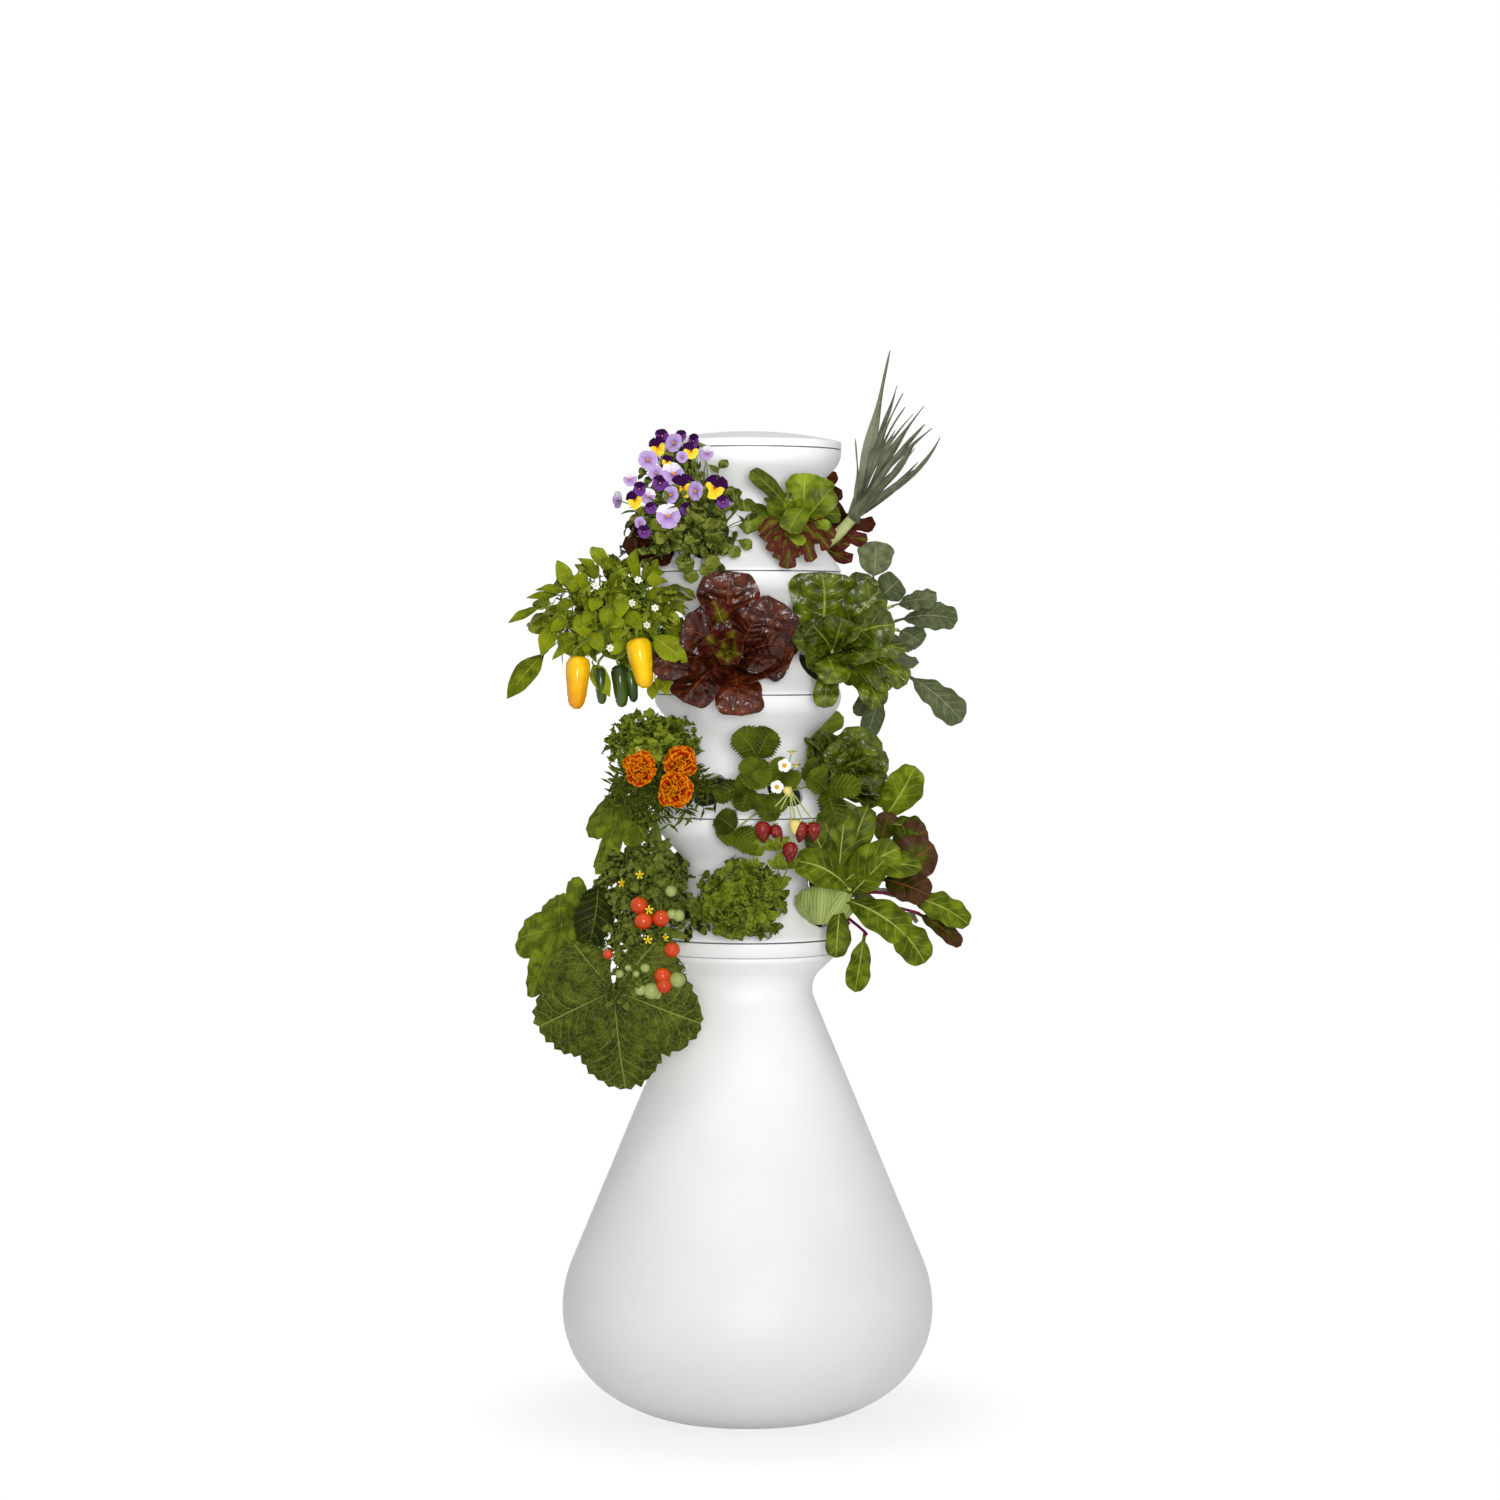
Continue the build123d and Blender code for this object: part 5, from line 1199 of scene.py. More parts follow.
leafy("green_romaine", 3, 60, "leaf_green", ROMAINE, GREEN_ROMAINE, 38,
      [(8, 48, 0.080, 22), (5, 25, 0.07)], 50,
      [((818, 640), (822, 572), -0.10, -0.130, 0.094, 15, (0.1, -1, 0.05), 0.6),
       ((835, 640), (880, 590), -0.10, -0.120, 0.056, 50, (0.4, -1, 0.2), 0.55),
       ((835, 640), (868, 574), -0.08, -0.09, 0.046, 35, (0.3, -1, 0.1), 0.4),
       ((836, 645), (895, 625), -0.11, -0.145, 0.058, 55, (0.4, -1, 0.5), 0.5),
       ((840, 650), (906, 650), -0.11, -0.150, 0.040, 60, (0.3, -1, 0.8), 0.6),
       ((840, 655), (907, 684), -0.11, -0.150, 0.044, 75, (0.3, -1, 0.7), 0.55),
       ((826, 650), (793, 642), -0.11, -0.165, 0.050, 55, (-0.2, -1, 0.6), 0.45),
       ((826, 655), (838, 684), -0.11, -0.175, 0.046, 75, (0, -1, 0.8), 0.8),
       ((832, 660), (824, 708), -0.11, -0.150, 0.034, 75, (-0.1, -1, 0.5), 0.6),
       ((845, 660), (881, 708), -0.10, -0.140, 0.040, 75, (0.2, -1, 0.5), 0.6),
       ((836, 650), (862, 628), -0.12, -0.185, 0.050, 50, (0.2, -1, 0.6), 0.5),
       ((832, 650), (842, 618), -0.12, -0.175, 0.048, 45, (0.1, -1, 0.4), 0.5),
       ((838, 655), (868, 662), -0.12, -0.190, 0.052, 60, (0.2, -1, 0.9), 0.45),
       ((832, 652), (812, 625), -0.12, -0.165, 0.046, 45, (-0.1, -1, 0.3), 0.4),
       ((845, 655), (890, 690), -0.11, -0.160, 0.040, 75, (0.2, -1, 0.6), 0.7)],
      WIDE_ROMAINE, (PALE_STEM, 0.003))

leafy("kale", 3, 120, "leaf_grey_green", COLLARD, KALE_LEAF, 55,
      [(5, 58, 0.15, 100, 150), (4, 34, 0.13, -60, 120)],
      rows=[((872, 585), (876, 541), 0.05, 0.04, 0.052, 20, (0.2, -1, 0.2), 0.8),
            ((878, 600), (900, 580), 0.04, 0.02, 0.046, 45, (0.4, -0.9, 0.5), 0.35),
            ((890, 607), (937, 600), 0.03, 0.0, 0.040, 40, (0.2, -0.9, 0.8), 0.5),
            ((892, 622), (958, 620), 0.03, 0.0, 0.048, 60, (0.1, -0.9, 0.7), 0.4),
            ((895, 630), (922, 644), 0.03, 0.01, 0.042, 60, (0.1, -0.9, 0.5), 0.45),
            ((900, 672), (962, 722), 0.02, -0.02, 0.048, 40, (0.25, -1, 0.4), 0.5),
            ((884, 690), (868, 735), 0.02, 0.0, 0.032, 60, (0.1, -1, 0.3), 0.25),
            ((866, 690), (857, 716), 0.03, 0.0, 0.020, 50, (0.1, -1, 0.3), 0.25)],
      stalk=(PALE_STEM, 0.0028))

leafy("butterhead", 3, 180, "leaf_green", replace(BUTTER, width=0.95, cup=0.25), BUTTER_GREEN, 45,
      [(9, 76, 0.095), (8, 52, 0.085, 20), (7, 30, 0.07), (5, 10, 0.055, 30)], -25)


@plant("parsley", 3, -120, "leaf_green")
def parsley(port, rng):
    leaves, stems = Scatter(), Foliage()
    spots = mound(port.at(0, 0.05, 0.045), (0.058, 0.05, 0.050), port.axes, 260, rng, -0.6, 0.5)
    for place, outward, tint in spots:
        leaves.add(place, *lie(outward, rng, 0.6, 0.5), rng.uniform(0.014, 0.024), rng.integers(2), tint)
        if rng.random() < 0.15:
            stem(stems, arched(port.root, place, port.out * 0.006), 0.0012, 0.0008, 5, 6)
    curly = Leaf(0.95, 0.6, 0.3, 0.15, 0.05, 0.2, 0.0, 0.16, 3.5, rows=8, cols=4)
    shapes = leaf_shapes("parsley_leaf", curly, (40, 20, 0.0), (80, -20, 0.05))
    return {"leaves": leaves.mesh("parsley_leaves", shapes, FRILLED_LEAF),
            "stems": stems.mesh("parsley_stems")}


def marigold_petals():
    """Two ruffled petals: dark at the foot, orange, with a yellow rim."""
    ember, orange, rim = (np.array(shade(*tone)[:3]) for tone in ((84, 10, 2), (188, 50, 2), (252, 164, 8)))
    ruffled = Leaf(1.15, 0.5, 0.16, 0.0, 0.2, 0.0, 0.1, 0.2, 2.2, rows=6, cols=6, thick=0.03)
    shapes = []
    for seed in (3, 4):
        rng = np.random.default_rng(seed)
        points, faces, uv, _ = leaf_shell(ruffled, (0, 0, 0), (0, 1, 0), UP, 60, 1.0, 0, 0, rng)
        across, along = uv[:, :1], uv[:, 1:2]
        edge = np.clip(np.maximum(along * 8 - 7, np.abs(across - 0.5) * 9 - 3.6), 0, 1)
        paint = (ember * (1 - along ** 1.6) + orange * along ** 1.6) * (1 - edge) + rim * edge
        shapes.append(mesh_of(f"marigold_petal_{seed}", points, faces, None, paint))
    return shapes


@plant("marigold", 2, -30, "leaf_dark_green")
def marigold(port, rng):
    fine, curls, blooms, f = Scatter(), Scatter(), Scatter(), Foliage()
    crown = sighted(672, 785, -0.12)
    head = sighted(652, 745, -0.105)
    for end in (crown, head):
        stem(f, arched(port.root, end, port.out * 0.012), 0.0026, 0.002, 6, 8)
    spots = mound(head, (0.062, 0.046, 0.042), VIEW_AXES, 420, rng, -0.55, 0.35)
    bush(curls, f, [head], spots, (0.009, 0.016), 2, rng, 0.7, 0.5)
    for _ in range(64):
        turn = rng.uniform(0, 2 * pi)
        reach = rng.uniform(0.03, 0.07)
        across = cos(turn) * reach * 1.1 - 0.012
        tip = crown + np.array([across, -rng.uniform(0.005, 0.05), sin(turn) * reach * 0.75 - 0.01])
        rib = smooth_path(arched(crown, tip, UP * 0.012), 7)
        stem(f, rib[[0, 3, 6]], 0.0010, 0.0006, 5, 6, MARIGOLD_LEAF)
        for k in range(2, 7):
            run = unit(rib[k] - rib[k - 1])
            side = unit(np.cross(run, LEAF_FACE))
            for way in (-1, 1):
                fine.add(rib[k], run * 0.8 + side * way, LEAF_FACE + rng.normal(0, 0.3, 3),
                         rng.uniform(0.012, 0.019), rng.integers(2), rng.uniform(0.1, 0.9))
    petals = marigold_petals()
    cup = shade(96, 118, 56)
    heads = [(639.5, 768, -0.168, 0.019), (681, 762, -0.165, 0.0195), (675.5, 789, -0.178, 0.021)]
    for column, row, depth, size in heads:
        centre = sighted(column, row, depth)
        look = unit([rng.normal(-0.1, 0.15), -1, 0.35])
        side = unit(np.cross(look, UP))
        top = np.cross(side, look)
        for k in range(MARIGOLD_PETALS):
            open_angle = radians(4 + 100 * (k / MARIGOLD_PETALS) ** 0.6)
            turn = k * GOLDEN_ANGLE
            away = side * cos(turn) + top * sin(turn)
            ahead = look * cos(open_angle) + away * sin(open_angle) + rng.normal(0, 0.16, 3)
            face = look * sin(open_angle) - away * cos(open_angle) + rng.normal(0, 0.45, 3)
            place = centre + (ahead * 0.42 - look * 0.2) * size
            blooms.add(place, ahead, face, size * rng.uniform(0.52, 0.86), rng.integers(2))
        stem(f, [crown, (crown + centre) / 2 + UP * 0.004, centre - look * 0.01], 0.0018, 0.0015, 6, 7)
        hung_fruit(f, centre - look * 0.002, centre - look * 0.018, ball_profile(0.4, 1.0, 0.8), FRUIT,
                   (cup, cup))
    bud = sighted(639, 751, -0.155)
    hung_fruit(f, bud + UP * 0.006 + [-0.005, 0, 0], bud - UP * 0.005 + [0.007, 0, 0],
               ball_profile(0.36, 1.0, 0.7), FRUIT, (shade(110, 128, 60), shade(170, 160, 60)))
    stem(f, [crown, bud + [0.008, 0.01, -0.01], bud], 0.0014, 0.0012, 5, 7)
    curly = Leaf(0.9, 0.6, 0.3, 0.1, 0.08, 0.2, 0.0, 0.2, 2.5, rows=5, cols=2)
    leaflets = leaf_shapes("marigold_leaflet", FEATHER, (30, 10, 0.05), (55, -10, -0.05))
    curled = leaf_shapes("marigold_curl", curly, (60, 25, 0.0), (90, -25, 0.05))
    return {"leaves": fine.mesh("marigold_leaves", leaflets, MARIGOLD_LEAF),
            "tops": curls.mesh("marigold_tops", curled, FRILLED_LEAF),
            "flowers": blooms.mesh("marigold_flowers", petals, PETAL), "stems": f.mesh("marigold_stems")}


@plant("strawberry", 2, 30, "leaf_dark_green")
def strawberry(port, rng):
    f, blooms = Foliage(), Scatter()
    root = port.root
    trefoils = [
        ((757, 757, -0.165), [(737, 730, -0.172), (772, 729, -0.172), (757, 790, -0.180)], 0.036,
         (-0.1, -1, 0.35)),
        ((757, 776, -0.17), [(742, 760, -0.185), (768, 768, -0.18), (745, 782, -0.185)], 0.026,
         (-0.1, -1, 0.3)),
        ((748, 786, -0.165), [(715, 800, -0.185), (738, 775, -0.175), (742, 812, -0.185)], 0.028,
         (-0.15, -1, 0.6)),
        ((768, 795, -0.175), [(757, 812, -0.185), (783, 812, -0.19), (771, 822, -0.19)], 0.026, (0, -1, 0.5)),
        ((826, 790, -0.14), [(807, 775, -0.15), (861, 790, -0.165), (838, 826, -0.165)], 0.032,
         (0.2, -1, 0.5)),
        ((735, 830, -0.16), [(717, 815, -0.165), (757, 849, -0.178), (722, 842, -0.168)], 0.032,
         (-0.1, -1, 0.4)),
        ((783, 775, -0.17), [(775, 758, -0.175), (800, 783, -0.18), (770, 784, -0.18)], 0.022, (0, -1, 0.3)),
        ((812, 770, -0.13), [(808, 760, -0.14), (826, 775, -0.15), (806, 782, -0.15)], 0.022, (0.2, -1, 0.4)),
    ]
    for joint, tips, width, face in trefoils:
        end = sighted(*joint)
        middle = (root + end) / 2 + port.out * 0.012 + UP * 0.006
        stem(f, [root, middle, end], 0.0016, 0.0011, 6, 8, PALE_STEM)
        for tip in tips:
            seen_leaf(f, LEAFLET, STRAWBERRY_LEAF, joint, tip, width * 1.2, 45, face, rng)
    red, dark = shade(132, 6, 9), shade(90, 3, 6)
    pale, cream = shade(226, 212, 130), shade(214, 196, 104)
    berries = [((762, 821), (764, 843), 0.42, True), ((773, 825), (781, 842), 0.38, True),
               ((791, 842), (789, 863), 0.42, True), ((803, 822), (799, 843), 0.36, True),
               ((814, 822), (813, 842), 0.42, True), ((787, 786), (788, 797), 0.5, False),
               ((795, 819), (795, 835), 0.45, False)]
    bend = sighted(790, 790, -0.182)
    for top, bottom, wide, ripe in berries:
        head, foot = sighted(*top, -0.185), sighted(*bottom, -0.187)
        profile = ball_profile(wide * 1.18, 1.0, 0.42, 12)
        hung_fruit(f, head, foot, profile, BERRY, (dark, red) if ripe else (pale, cream), sides=20)
        calyx(f, head + UP * 0.0005, head - foot, 0.0095, FRILLED_LEAF, rng, 7, 92)
        path = [root, bend, (bend + head) / 2 + TOWARDS_VIEWER * 0.006, head]
        stem(f, path, 0.0011, 0.0009, 5, 9, PALE_STEM)
    petals = whorl(5, 0.5, 0.46, 0.04, shade(232, 232, 214), shade(244, 243, 238))
    bloom = [flower_shape("strawberry_flower", petals, shade(214, 164, 30), 0.17, 0.05)]
    for column, row in ((784.5, 765.5), (777, 787)):
        place = sighted(column, row, -0.188)
        blooms.add(place, UP + [0.2, 0, 0], [-0.1, -1, 0.3], 0.019)
        path = [root, (root + place) / 2 + UP * 0.008, place - TOWARDS_VIEWER * 0.002]
        stem(f, path, 0.001, 0.0008, 5, 7, PALE_STEM)
    for column, row in ((792, 752), (796, 765)):
        place = sighted(column, row, -0.18)
        hung_fruit(f, place - UP * 0.004, place + UP * 0.004, ball_profile(0.45, 1.0, 0.8), BERRY,
                   (cream, pale))
        calyx(f, place, UP, 0.008, FRILLED_LEAF, rng, 6, 70)
        stem(f, arched(root, place, UP * 0.008), 0.001, 0.0008, 5, 7, PALE_STEM)
    return {"leaves": f.mesh("strawberry_leaves"), "flowers": blooms.mesh("strawberry_flowers", bloom, PETAL)}


leafy("spinach", 2, 90, "leaf_dark_green", SAVOY, SPINACH_LEAF, 50, [(9, 58, 0.085), (6, 28, 0.08, 20)],
      rows=[((852, 765), (858, 726), -0.07, -0.09, 0.048, 50, (0.2, -1, 0.3), 0.6),
            ((848, 770), (830, 744), -0.08, -0.11, 0.040, 55, (-0.1, -1, 0.4), 0.5),
            ((848, 772), (828, 768), -0.08, -0.125, 0.042, 60, (-0.1, -1, 0.5), 0.45),
            ((850, 772), (845, 752), -0.09, -0.135, 0.042, 55, (0, -1, 0.4), 0.5),
            ((852, 772), (874, 745), -0.08, -0.12, 0.044, 60, (0.3, -1, 0.4), 0.6),
            ((855, 772), (889, 760), -0.08, -0.10, 0.036, 60, (0.4, -1, 0.5), 0.5),
            ((852, 775), (862, 785), -0.09, -0.14, 0.042, 70, (0.2, -1, 0.8), 0.45),
            ((850, 775), (840, 786), -0.09, -0.14, 0.040, 70, (0.1, -1, 0.8), 0.4),
            ((852, 770), (862, 760), -0.10, -0.145, 0.040, 60, (0.15, -1, 0.6), 0.55),
            ((856, 776), (884, 782), -0.08, -0.12, 0.036, 70, (0.3, -1, 0.7), 0.4)],
      stalk=(GREEN_STEM, 0.002))

leafy("chard", 2, 150, "leaf_green", CHARD, CHARD_LEAF, 55, [(6, 56, 0.15, 60, 200), (4, 30, 0.13, -60, 120)],
      rows=[((881, 822), (915, 766), 0.02, 0.0, 0.054, 25, (0.25, -1, 0.15), 0.75),
            ((866, 815), (874, 772), 0.03, 0.02, 0.040, 35, (0.1, -1, 0.2), 0.4),
            ((880, 825), (925, 838), 0.02, -0.01, 0.040, 55, (0.2, -1, 0.6), 0.3),
            ((870, 800), (893, 800), 0.0, -0.02, 0.030, 50, (0.2, -1, 0.5), 0.5)],
      stalk=(PALE_STEM, 0.0032))

leafy("green_lettuce", 2, -150, "leaf_green", FRILLED, LIME_GREEN, 48,
      [(9, 72, 0.10), (8, 48, 0.09, 20), (6, 22, 0.08)])


@plant("squash", 2, -90, "leaf_dark_green")
def squash(port, rng):
    f = Foliage()
    rows = [((614, 990, -0.20), (620, 1094, -0.19), (-0.2, -1, 0.42), 0.92, 0.2, 0.16,
             SQUASH_LEAF, 0.5, [(657, 815, -0.03), (663, 880, -0.04), (652, 955, -0.10)], 30, 100),
            ((624, 802, -0.06), (594, 870, -0.10), (-0.5, -1, 0.25), 0.50, 0.4, 0.12,
             YOUNG_SQUASH_LEAF, 0.6, [(645, 795, -0.03)]),
            ((560, 928, -0.10), (526, 993, -0.12), (-0.45, -1, 0.45), 0.72, 0.34, 0.12,
             YOUNG_SQUASH_LEAF, 0.65, [(657, 822, -0.02), (630, 880, -0.03), (585, 915, -0.07)]),
            ((578, 912, -0.07), (574, 876, -0.06), (-0.2, -1, 0.3), 0.8, 0.3, 0.12,
             YOUNG_SQUASH_LEAF, 0.7, [(655, 815, 0.0), (625, 860, -0.01)]),
            ((632, 872, -0.07), (636, 842, -0.08), (0.1, -1, 0.35), 0.9, 0.3, 0.12,
             SQUASH_LEAF, 0.35, [(656, 820, -0.03), (655, 860, -0.05)])]
    for centre, tip, face, spread, notch, dish, finish, tint, bends, *fineness in rows:
        joint = sighted(*centre)
        f.add(palm_shell(joint, sighted(*tip), face, spread, notch, dish, rng, *fineness), finish, tint)
        stem(f, [port.root, *[sighted(*bend) for bend in bends], joint], 0.0048, 0.0032, 9, 16)
    dark = replace(LEAFLET, width=0.72, tip=0.6, bite=0.1, rows=26, cols=12, blister=0.02)
    seen_leaf(f, dark, STRAWBERRY_LEAF, (598, 886, -0.115), (587, 952, -0.14), 0.054, 40, (-0.1, -1, 0.3),
              rng, 0.1)
    stem(f, [port.root, sighted(650, 840, -0.05), sighted(598, 884, -0.115)], 0.0026, 0.002)
    return {"leaves": f.mesh("squash_leaves")}


@plant("tomato", 1, -60, "leaf_dark_green")
def tomato(port, rng):
    leaves, f, blooms = Scatter(), Foliage(), Scatter()
    crown = sighted(650, 905, -0.10)
    stem(f, arched(port.root, crown, UP * 0.005), 0.0034, 0.0028)
    ends = [(612, 868, -0.10), (625, 858, -0.08), (640, 862, -0.13), (662, 872, -0.14), (682, 878, -0.14),
            (690, 908, -0.14), (600, 892, -0.09), (618, 930, -0.16), (628, 955, -0.18), (640, 940, -0.18),
            (668, 935, -0.18), (612, 960, -0.17), (625, 985, -0.20), (600, 920, -0.12), (655, 955, -0.19),
            (645, 890, -0.16), (665, 895, -0.16), (690, 925, -0.13), (618, 900, -0.15), (660, 860, -0.10),
            (632, 880, -0.16), (640, 975, -0.205), (672, 865, -0.12), (606, 875, -0.06), (655, 845, -0.06),
            (605, 940, -0.14), (650, 925, -0.185), (620, 915, -0.17), (615, 1000, -0.205)]
    for end in ends:
        tip = sighted(*end)
        rib = smooth_path([crown, (crown + tip) / 2 + UP * 0.016 + TOWARDS_VIEWER * 0.008, tip], 9)
        stem(f, rib[[0, 4, 8]], 0.0013, 0.0007, 5, 8, tint=0.3)
        for k in range(2, 9):
            run = unit(rib[k] - rib[k - 1])
            side = unit(np.cross(run, LEAF_FACE))
            for way in (-1, 1, 0) if k == 8 else (-1, 1):
                ahead = run * 0.55 + side * way + rng.normal(0, 0.2, 3)
                leaves.add(rib[k], ahead, LEAF_FACE + rng.normal(0, 0.35, 3), rng.uniform(0.014, 0.027),
                           rng.integers(2), rng.uniform(0.0, 0.9))
    ripe, unripe = (shade(196, 58, 16), shade(212, 80, 26)), (shade(166, 178, 106), shade(140, 156, 84))
    red = [(639, 905.5, 12.0), (643.5, 921, 12.4), (661, 918.5, 11.8), (672, 950, 10.8), (608, 954.5, 7),
           (662.5, 976, 12.0), (664, 986, 10.5)]
    green = [(671, 891, 8.0), (672, 914, 7.2), (678.5, 915.5, 8.4), (677.5, 980, 11.2), (651.5, 991, 11.6),
             (645, 968, 6.6), (619.5, 974, 6.0), (640.5, 990, 8), (628, 968, 5), (657, 994, 7), (636, 974, 5)]
    for k, (column, row, radius) in enumerate(red + green):
        depth = (-0.188 if row < 940 else -0.205) + rng.normal(0, 0.002)
        middle = sighted(column, row, depth)
        upward = unit([rng.normal(0, 0.3), rng.normal(0.35, 0.2), 1])
        half = upward * radius * 0.00098
        hung_fruit(f, middle + half, middle - half, ball_profile(0.52, 1.0, 0.98, 12), FRUIT,
                   ripe if k < len(red) else unripe, 5, 0.012, 0.0, 22)
        calyx(f, middle + half * 0.97, upward, radius * 0.0009, TOMATO_LEAF, rng, 5, 75)
        path = [middle + half * 0.9, middle + half * 1.8 + TOWARDS_VIEWER * -0.01,
                (middle + crown) / 2 + TOWARDS_VIEWER * 0.01, crown]
        stem(f, path, 0.0011, 0.0013, 5, 9)
    petals = whorl(5, 0.5, 0.2, -0.12, shade(230, 196, 40), shade(244, 216, 70))
    bloom = [flower_shape("tomato_flower", petals, shade(220, 170, 20), 0.1, 0.06)]
    for column, row in ((649, 910), (622, 883), (640, 875), (648, 940), (665, 938)):
        place = sighted(column, row, -0.195)
        face = [rng.normal(0, 0.4), -1, -0.3]
        blooms.add(place, UP, face, 0.013)
        flower_stem(f, crown, place, face)
    lobed = Leaf(0.6, 0.6, 0.6, 0.08, 0.05, 0.2, -0.1, 0.04, 2, lobes=2.5, notch=0.35, rows=10, cols=2)
    shapes = leaf_shapes("tomato_leaflet", lobed, (40, 12, 0.04), (75, -16, -0.05))
    return {"leaves": leaves.mesh("tomato_leaves", shapes, TOMATO_LEAF), "fruit": f.mesh("tomato_fruit"),
            "flowers": blooms.mesh("tomato_flowers", bloom, PETAL)}


@plant("mint", 1, 0, "leaf_green")
def mint(port, rng):
    leaves, stems = Scatter(), Foliage()
    spots = mound(sighted(742, 902, -0.150), (0.054, 0.044, 0.050), VIEW_AXES, 62, rng, -0.85, 0.35)
    for place, outward, tint in spots:
        turn = unit(np.cross(outward, UP + 0.01))
        other = np.cross(outward, turn)
        start = rng.uniform(0, pi)
        for level, (open_angle, size) in enumerate(((84, 0.027), (56, 0.022), (26, 0.014))):
            for way in (0, pi):
                spin = start + level * pi / 2 + way
                away = turn * cos(spin) + other * sin(spin)
                lean = radians(open_angle + rng.normal(0, 8))
                ahead = outward * cos(lean) + away * sin(lean) - UP * 0.1
                leaves.add(place + outward * 0.003 * level, ahead, outward * sin(lean) - away * cos(lean),
                           size * rng.uniform(0.8, 1.15), rng.integers(2), tint * 0.8 + 0.1 * level)
        path = [port.root, (port.root + place) / 2 + port.out * 0.01, place + outward * 0.004]
        stem(stems, path, 0.0013, 0.001, 5, 7)
    shoots = [[(775, 890, -0.17), (778, 868, -0.178), (776, 850, -0.178)],
              [(752, 870, -0.165), (754, 855, -0.168)], [(778, 885, -0.17), (788, 868, -0.175)]]
    for shoot in shoots:
        joints = [sighted(*joint) for joint in shoot]
        stem(stems, [port.root, *joints], 0.0012, 0.0009, 5, 9)
        for k, joint in enumerate(joints):
            for way in (-1, 1, 0.2):
                ahead = np.array([way, -0.35 + rng.normal(0, 0.2), 0.5 + 0.25 * k])
                leaves.add(joint, ahead, LEAF_FACE + rng.normal(0, 0.25, 3), rng.uniform(0.018, 0.027),
                           rng.integers(2), 0.65)
    shapes = leaf_shapes("mint_leaf", SERRATED, (40, 8, 0.03), (65, -12, -0.04))
    return {"leaves": leaves.mesh("mint_leaves", shapes, MINT_LEAF), "stems": stems.mesh("mint_stems")}


@plant("bok_choy", 1, 60, "leaf_green")
def bok_choy(port, rng):
    f = Foliage()
    rib = Leaf(0.62, 0.32, 0.22, 0.0, 0.3, 0.25, 0.35, 0.0, rows=12, cols=8, thick=0.004)
    stalks = [((822, 923), (835, 883), -0.10, -0.115, 0.044), ((816, 921), (812, 888), -0.10, -0.120, 0.040),
              ((826, 922), (846, 892), -0.11, -0.125, 0.040), ((820, 923), (822, 885), -0.11, -0.130, 0.042),
              ((812, 918), (803, 892), -0.095, -0.110, 0.032), ((830, 920), (852, 900), -0.10, -0.110, 0.032),
              ((818, 920), (830, 880), -0.085, -0.090, 0.040)]
    foot = sighted(822, 910, -0.102)
    stem(f, arched(port.root, foot, UP * -0.004), 0.012, 0.018, 14, 8, BOK_CHOY_RIB, 0.6)
    seen_leaves(f, rib, BOK_CHOY_RIB, [(*stalk, -30, (0.05, 1.0, 0.35), None) for stalk in stalks], rng)
    rows = [((850, 890), (794, 861), -0.135, -0.175, 0.056, 50, (-0.1, -1, 0.6), 0.6),
            ((828, 886), (824, 810), -0.10, -0.11, 0.030, 25, (0, -1, 0.2), 0.65),
            ((838, 884), (846, 806), -0.10, -0.10, 0.038, 25, (0.1, -1, 0.1), 0.55),
            ((842, 884), (868, 806), -0.09, -0.09, 0.044, 25, (0.2, -1, 0.1), 0.5),
            ((840, 886), (922, 868), -0.115, -0.160, 0.050, 55, (0.1, -0.8, 1), 0.65),
            ((838, 888), (900, 848), -0.115, -0.150, 0.050, 45, (0.2, -1, 0.5), 0.55),
            ((846, 900), (907, 937), -0.120, -0.165, 0.058, 45, (0.1, -1, 0.7), 0.65),
            ((840, 905), (836, 958), -0.110, -0.135, 0.032, 60, (0, -1, 0.4), 0.5),
            ((836, 884), (812, 828), -0.11, -0.13, 0.040, 30, (-0.1, -1, 0.1), 0.35),
            ((850, 895), (885, 860), -0.12, -0.16, 0.040, 45, (0.2, -1, 0.5), 0.5)]
    seen_leaves(f, BOK_CHOY, BOK_CHOY_LEAF, rows, rng, (sighted(824, 905, -0.10), BOK_CHOY_RIB, 0.0034))
    return {"leaves": f.mesh("bok_choy_leaves")}


leafy("purple_chard", 1, 120, "leaf_red", CHARD, PURPLE_CHARD_LEAF, 55,
      [(5, 58, 0.15, 70, 190), (4, 32, 0.13, -60, 120)],
      rows=[((885, 880), (934, 845), 0.0, -0.03, 0.062, 40, (0.2, -1, 0.3), 0.35),
            ((880, 878), (930, 896), 0.0, -0.04, 0.050, 45, (0.1, -1, 0.5), 0.2),
            ((888, 850), (928, 832), 0.01, -0.01, 0.046, 45, (0.2, -1, 0.4), 0.3),
            ((905, 895), (969, 925), -0.01, -0.04, 0.048, 55, (0.2, -0.9, 0.7), 0.7, CHARD_LEAF),
            ((915, 912), (961, 946), -0.01, -0.02, 0.026, 60, (0.3, -1, 0.3), 0.3),
            ((890, 918), (925, 963), -0.02, -0.05, 0.050, 50, (0.1, -1, 0.4), 0.6, CHARD_LEAF),
            ((865, 932), (855, 992), -0.03, -0.05, 0.034, -45, (0.2, -1, 0.3), 0.6, CHARD_LEAF),
            ((848, 922), (836, 956), -0.03, -0.05, 0.024, 40, (0.0, -1, 0.3), 0.5, CHARD_LEAF),
            ((880, 846), (890, 812), 0.02, 0.01, 0.034, 40, (0.1, -1, 0.2), 0.3)],
      stalk=(MAGENTA_STEM, 0.0026))

leafy("curly_kale", 1, 180, "leaf_grey_green", replace(COLLARD, ruffle=0.09, waves=9, rows=40, cols=10),
      KALE_LEAF, 55, [(8, 66, 0.12), (7, 42, 0.12, 20), (5, 20, 0.11)])

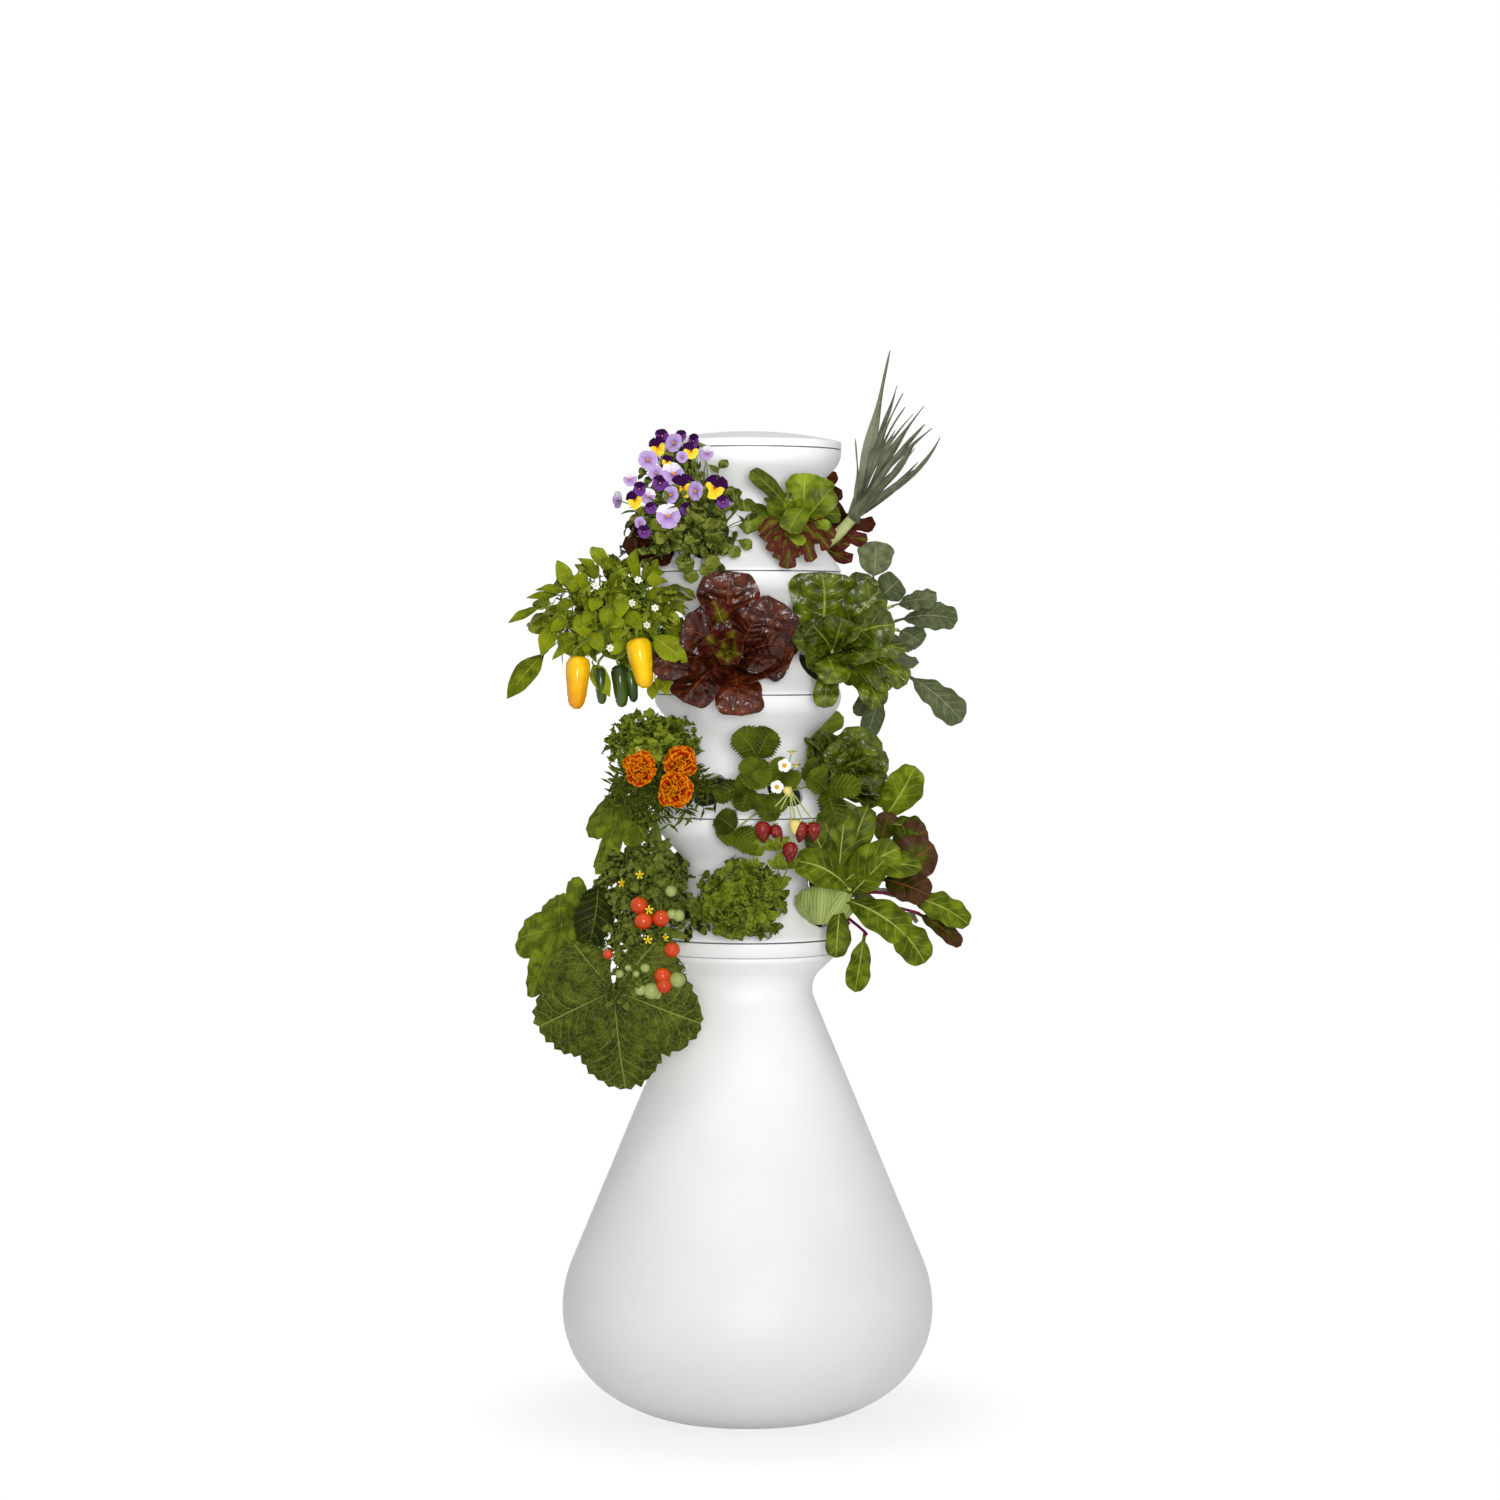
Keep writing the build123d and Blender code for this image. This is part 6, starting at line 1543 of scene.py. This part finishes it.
leafy("small_romaine", 1, -120, "leaf_green", replace(ROMAINE, width=0.55, rows=22, cols=12),
      GREEN_ROMAINE, 55, [(8, 62, 0.085), (7, 40, 0.085, 20), (5, 18, 0.075)])


for number, (node, port, slot, maker) in enumerate(piece_makers):
    for label, mesh in maker(port, np.random.default_rng(100 + number)).items():
        show(bpy.data.objects.new(f"{node}_{label}", mesh), "tower", node)

# The solids that stay: each slot of the record gets its finish.
SLOT_FINISHES = {
    # The white moulding darkens its seam grooves and collar foot with painted shade.
    "white_plastic": moulded_finish("white_moulding", shade(246, 246, 246), shade(241, 241, 242), 0.42,
                                    specular=0.25, seam_shade=shade(96, 96, 98)),
    "black_plastic": moulded_finish("black_moulding", shade(34, 34, 35), shade(24, 24, 25), 0.45),
    "grey_plastic": moulded_finish("grey_moulding", shade(128, 130, 132), shade(112, 114, 116), 0.45),
    "pipe_plastic": moulded_finish("pipe_moulding", shade(226, 226, 222), shade(216, 216, 212), 0.35),
    "growing_medium": medium_finish(),
    "steel": steel_finish(),
    "rubber": moulded_finish("soft_rubber", shade(48, 48, 50), shade(36, 36, 38), 0.7, 0.25, 0.25),
}
node_slots = {row["node"]: row["material_slot"] for row in frame["record"]["subparts"]}
for name, piece in frame["nodes"].items():
    finish = SLOT_FINISHES.get(node_slots[name])
    if finish:
        piece.data.materials.clear()
        piece.data.materials.append(finish)


# The stage: a pale floor that goes to white for the camera and keeps the tower's shadow.
floor_mesh = bpy.data.meshes.new("floor")
floor_mesh.from_pydata([(-12, -9, 0), (12, -9, 0), (12, 15, 0), (-12, 15, 0)], [], [(0, 1, 2, 3)])
floor = bpy.data.objects.new("floor", floor_mesh)
bpy.context.scene.collection.objects.link(floor)
paper = Finish("floor_paper", Roughness=0.9, Specular_IOR_Level=0.0)
paper.set("Base Color", paper.mix(paper.noise(3), shade(236, 236, 236), shade(240, 240, 240)))
white = paper.node("ShaderNodeEmission", {}, {"Color": (1, 1, 1, 1), "Strength": 1.0})
place = paper.node("ShaderNodeSeparateXYZ", {}, {"Vector": paper.place()})
away = (place * place + place.other("Y") * place.other("Y")) ** 0.5
shown_white = FOOT_WHITE + away.ramp(*SHADOW_REACH) * (1 - FOOT_WHITE)
blend = paper.node("ShaderNodeMixShader", {}, {0: paper.looked_at() * shown_white})
paper.tree.links.new(paper.shader.outputs[0], blend.socket.node.inputs[1])
paper.tree.links.new(white.socket, blend.socket.node.inputs[2])
paper.tree.links.new(blend.socket, paper.tree.nodes["Material Output"].inputs["Surface"])
floor_mesh.materials.append(paper.material)

world = bpy.data.worlds.new("studio")
bpy.context.scene.world = world
world.use_nodes = True
sky = Shades(world.node_tree)
paint = world.node_tree.nodes["Background"]
paint.inputs["Color"].default_value = (1, 1, 1, 1)
strength = sky.looked_at() * (1 - WORLD_LIGHT) + WORLD_LIGHT
world.node_tree.links.new(strength.socket, paint.inputs["Strength"])


def soft_box(name, place, target, size, power, spread=180):
    """A broad lamp that looks at a target, with a grid that narrows its spread."""
    lamp = bpy.data.lights.new(name, "AREA")
    lamp.shape = "RECTANGLE"
    lamp.size, lamp.size_y = size
    lamp.energy = power
    lamp.spread = radians(spread)
    box = bpy.data.objects.new(name, lamp)
    bpy.context.scene.collection.objects.link(box)
    box.location = place
    back = unit(np.array(place) - np.array(target))
    right = unit(np.cross(UP, back))
    box.rotation_euler = Matrix((right, np.cross(back, right), back)).transposed().to_euler()


soft_box("top_soft_box", (0.2, -2.2, 4.2), (0, 0, 0.9), (1.4, 1.4), 22)
soft_box("back_soft_box", (-0.5, 5.2, 1.0), (0, 0, 0.9), (1.5, 1.5), 12, 50)
soft_box("front_soft_box", (0.35, -5.4, 1.35), (0, 0, 1.4), (1.5, 1.5), 17.5, 45)

lens = bpy.data.cameras.new("camera")
lens.lens = CAMERA_LENS
lens.sensor_width = SENSOR
camera = bpy.data.objects.new("camera", lens)
bpy.context.scene.collection.objects.link(camera)
camera.location = CAMERA_PLACE
camera.rotation_euler = (radians(90 - CAMERA_DIP), 0, 0)
bpy.context.scene.camera = camera
bpy.context.scene.view_settings.view_transform = "Standard"
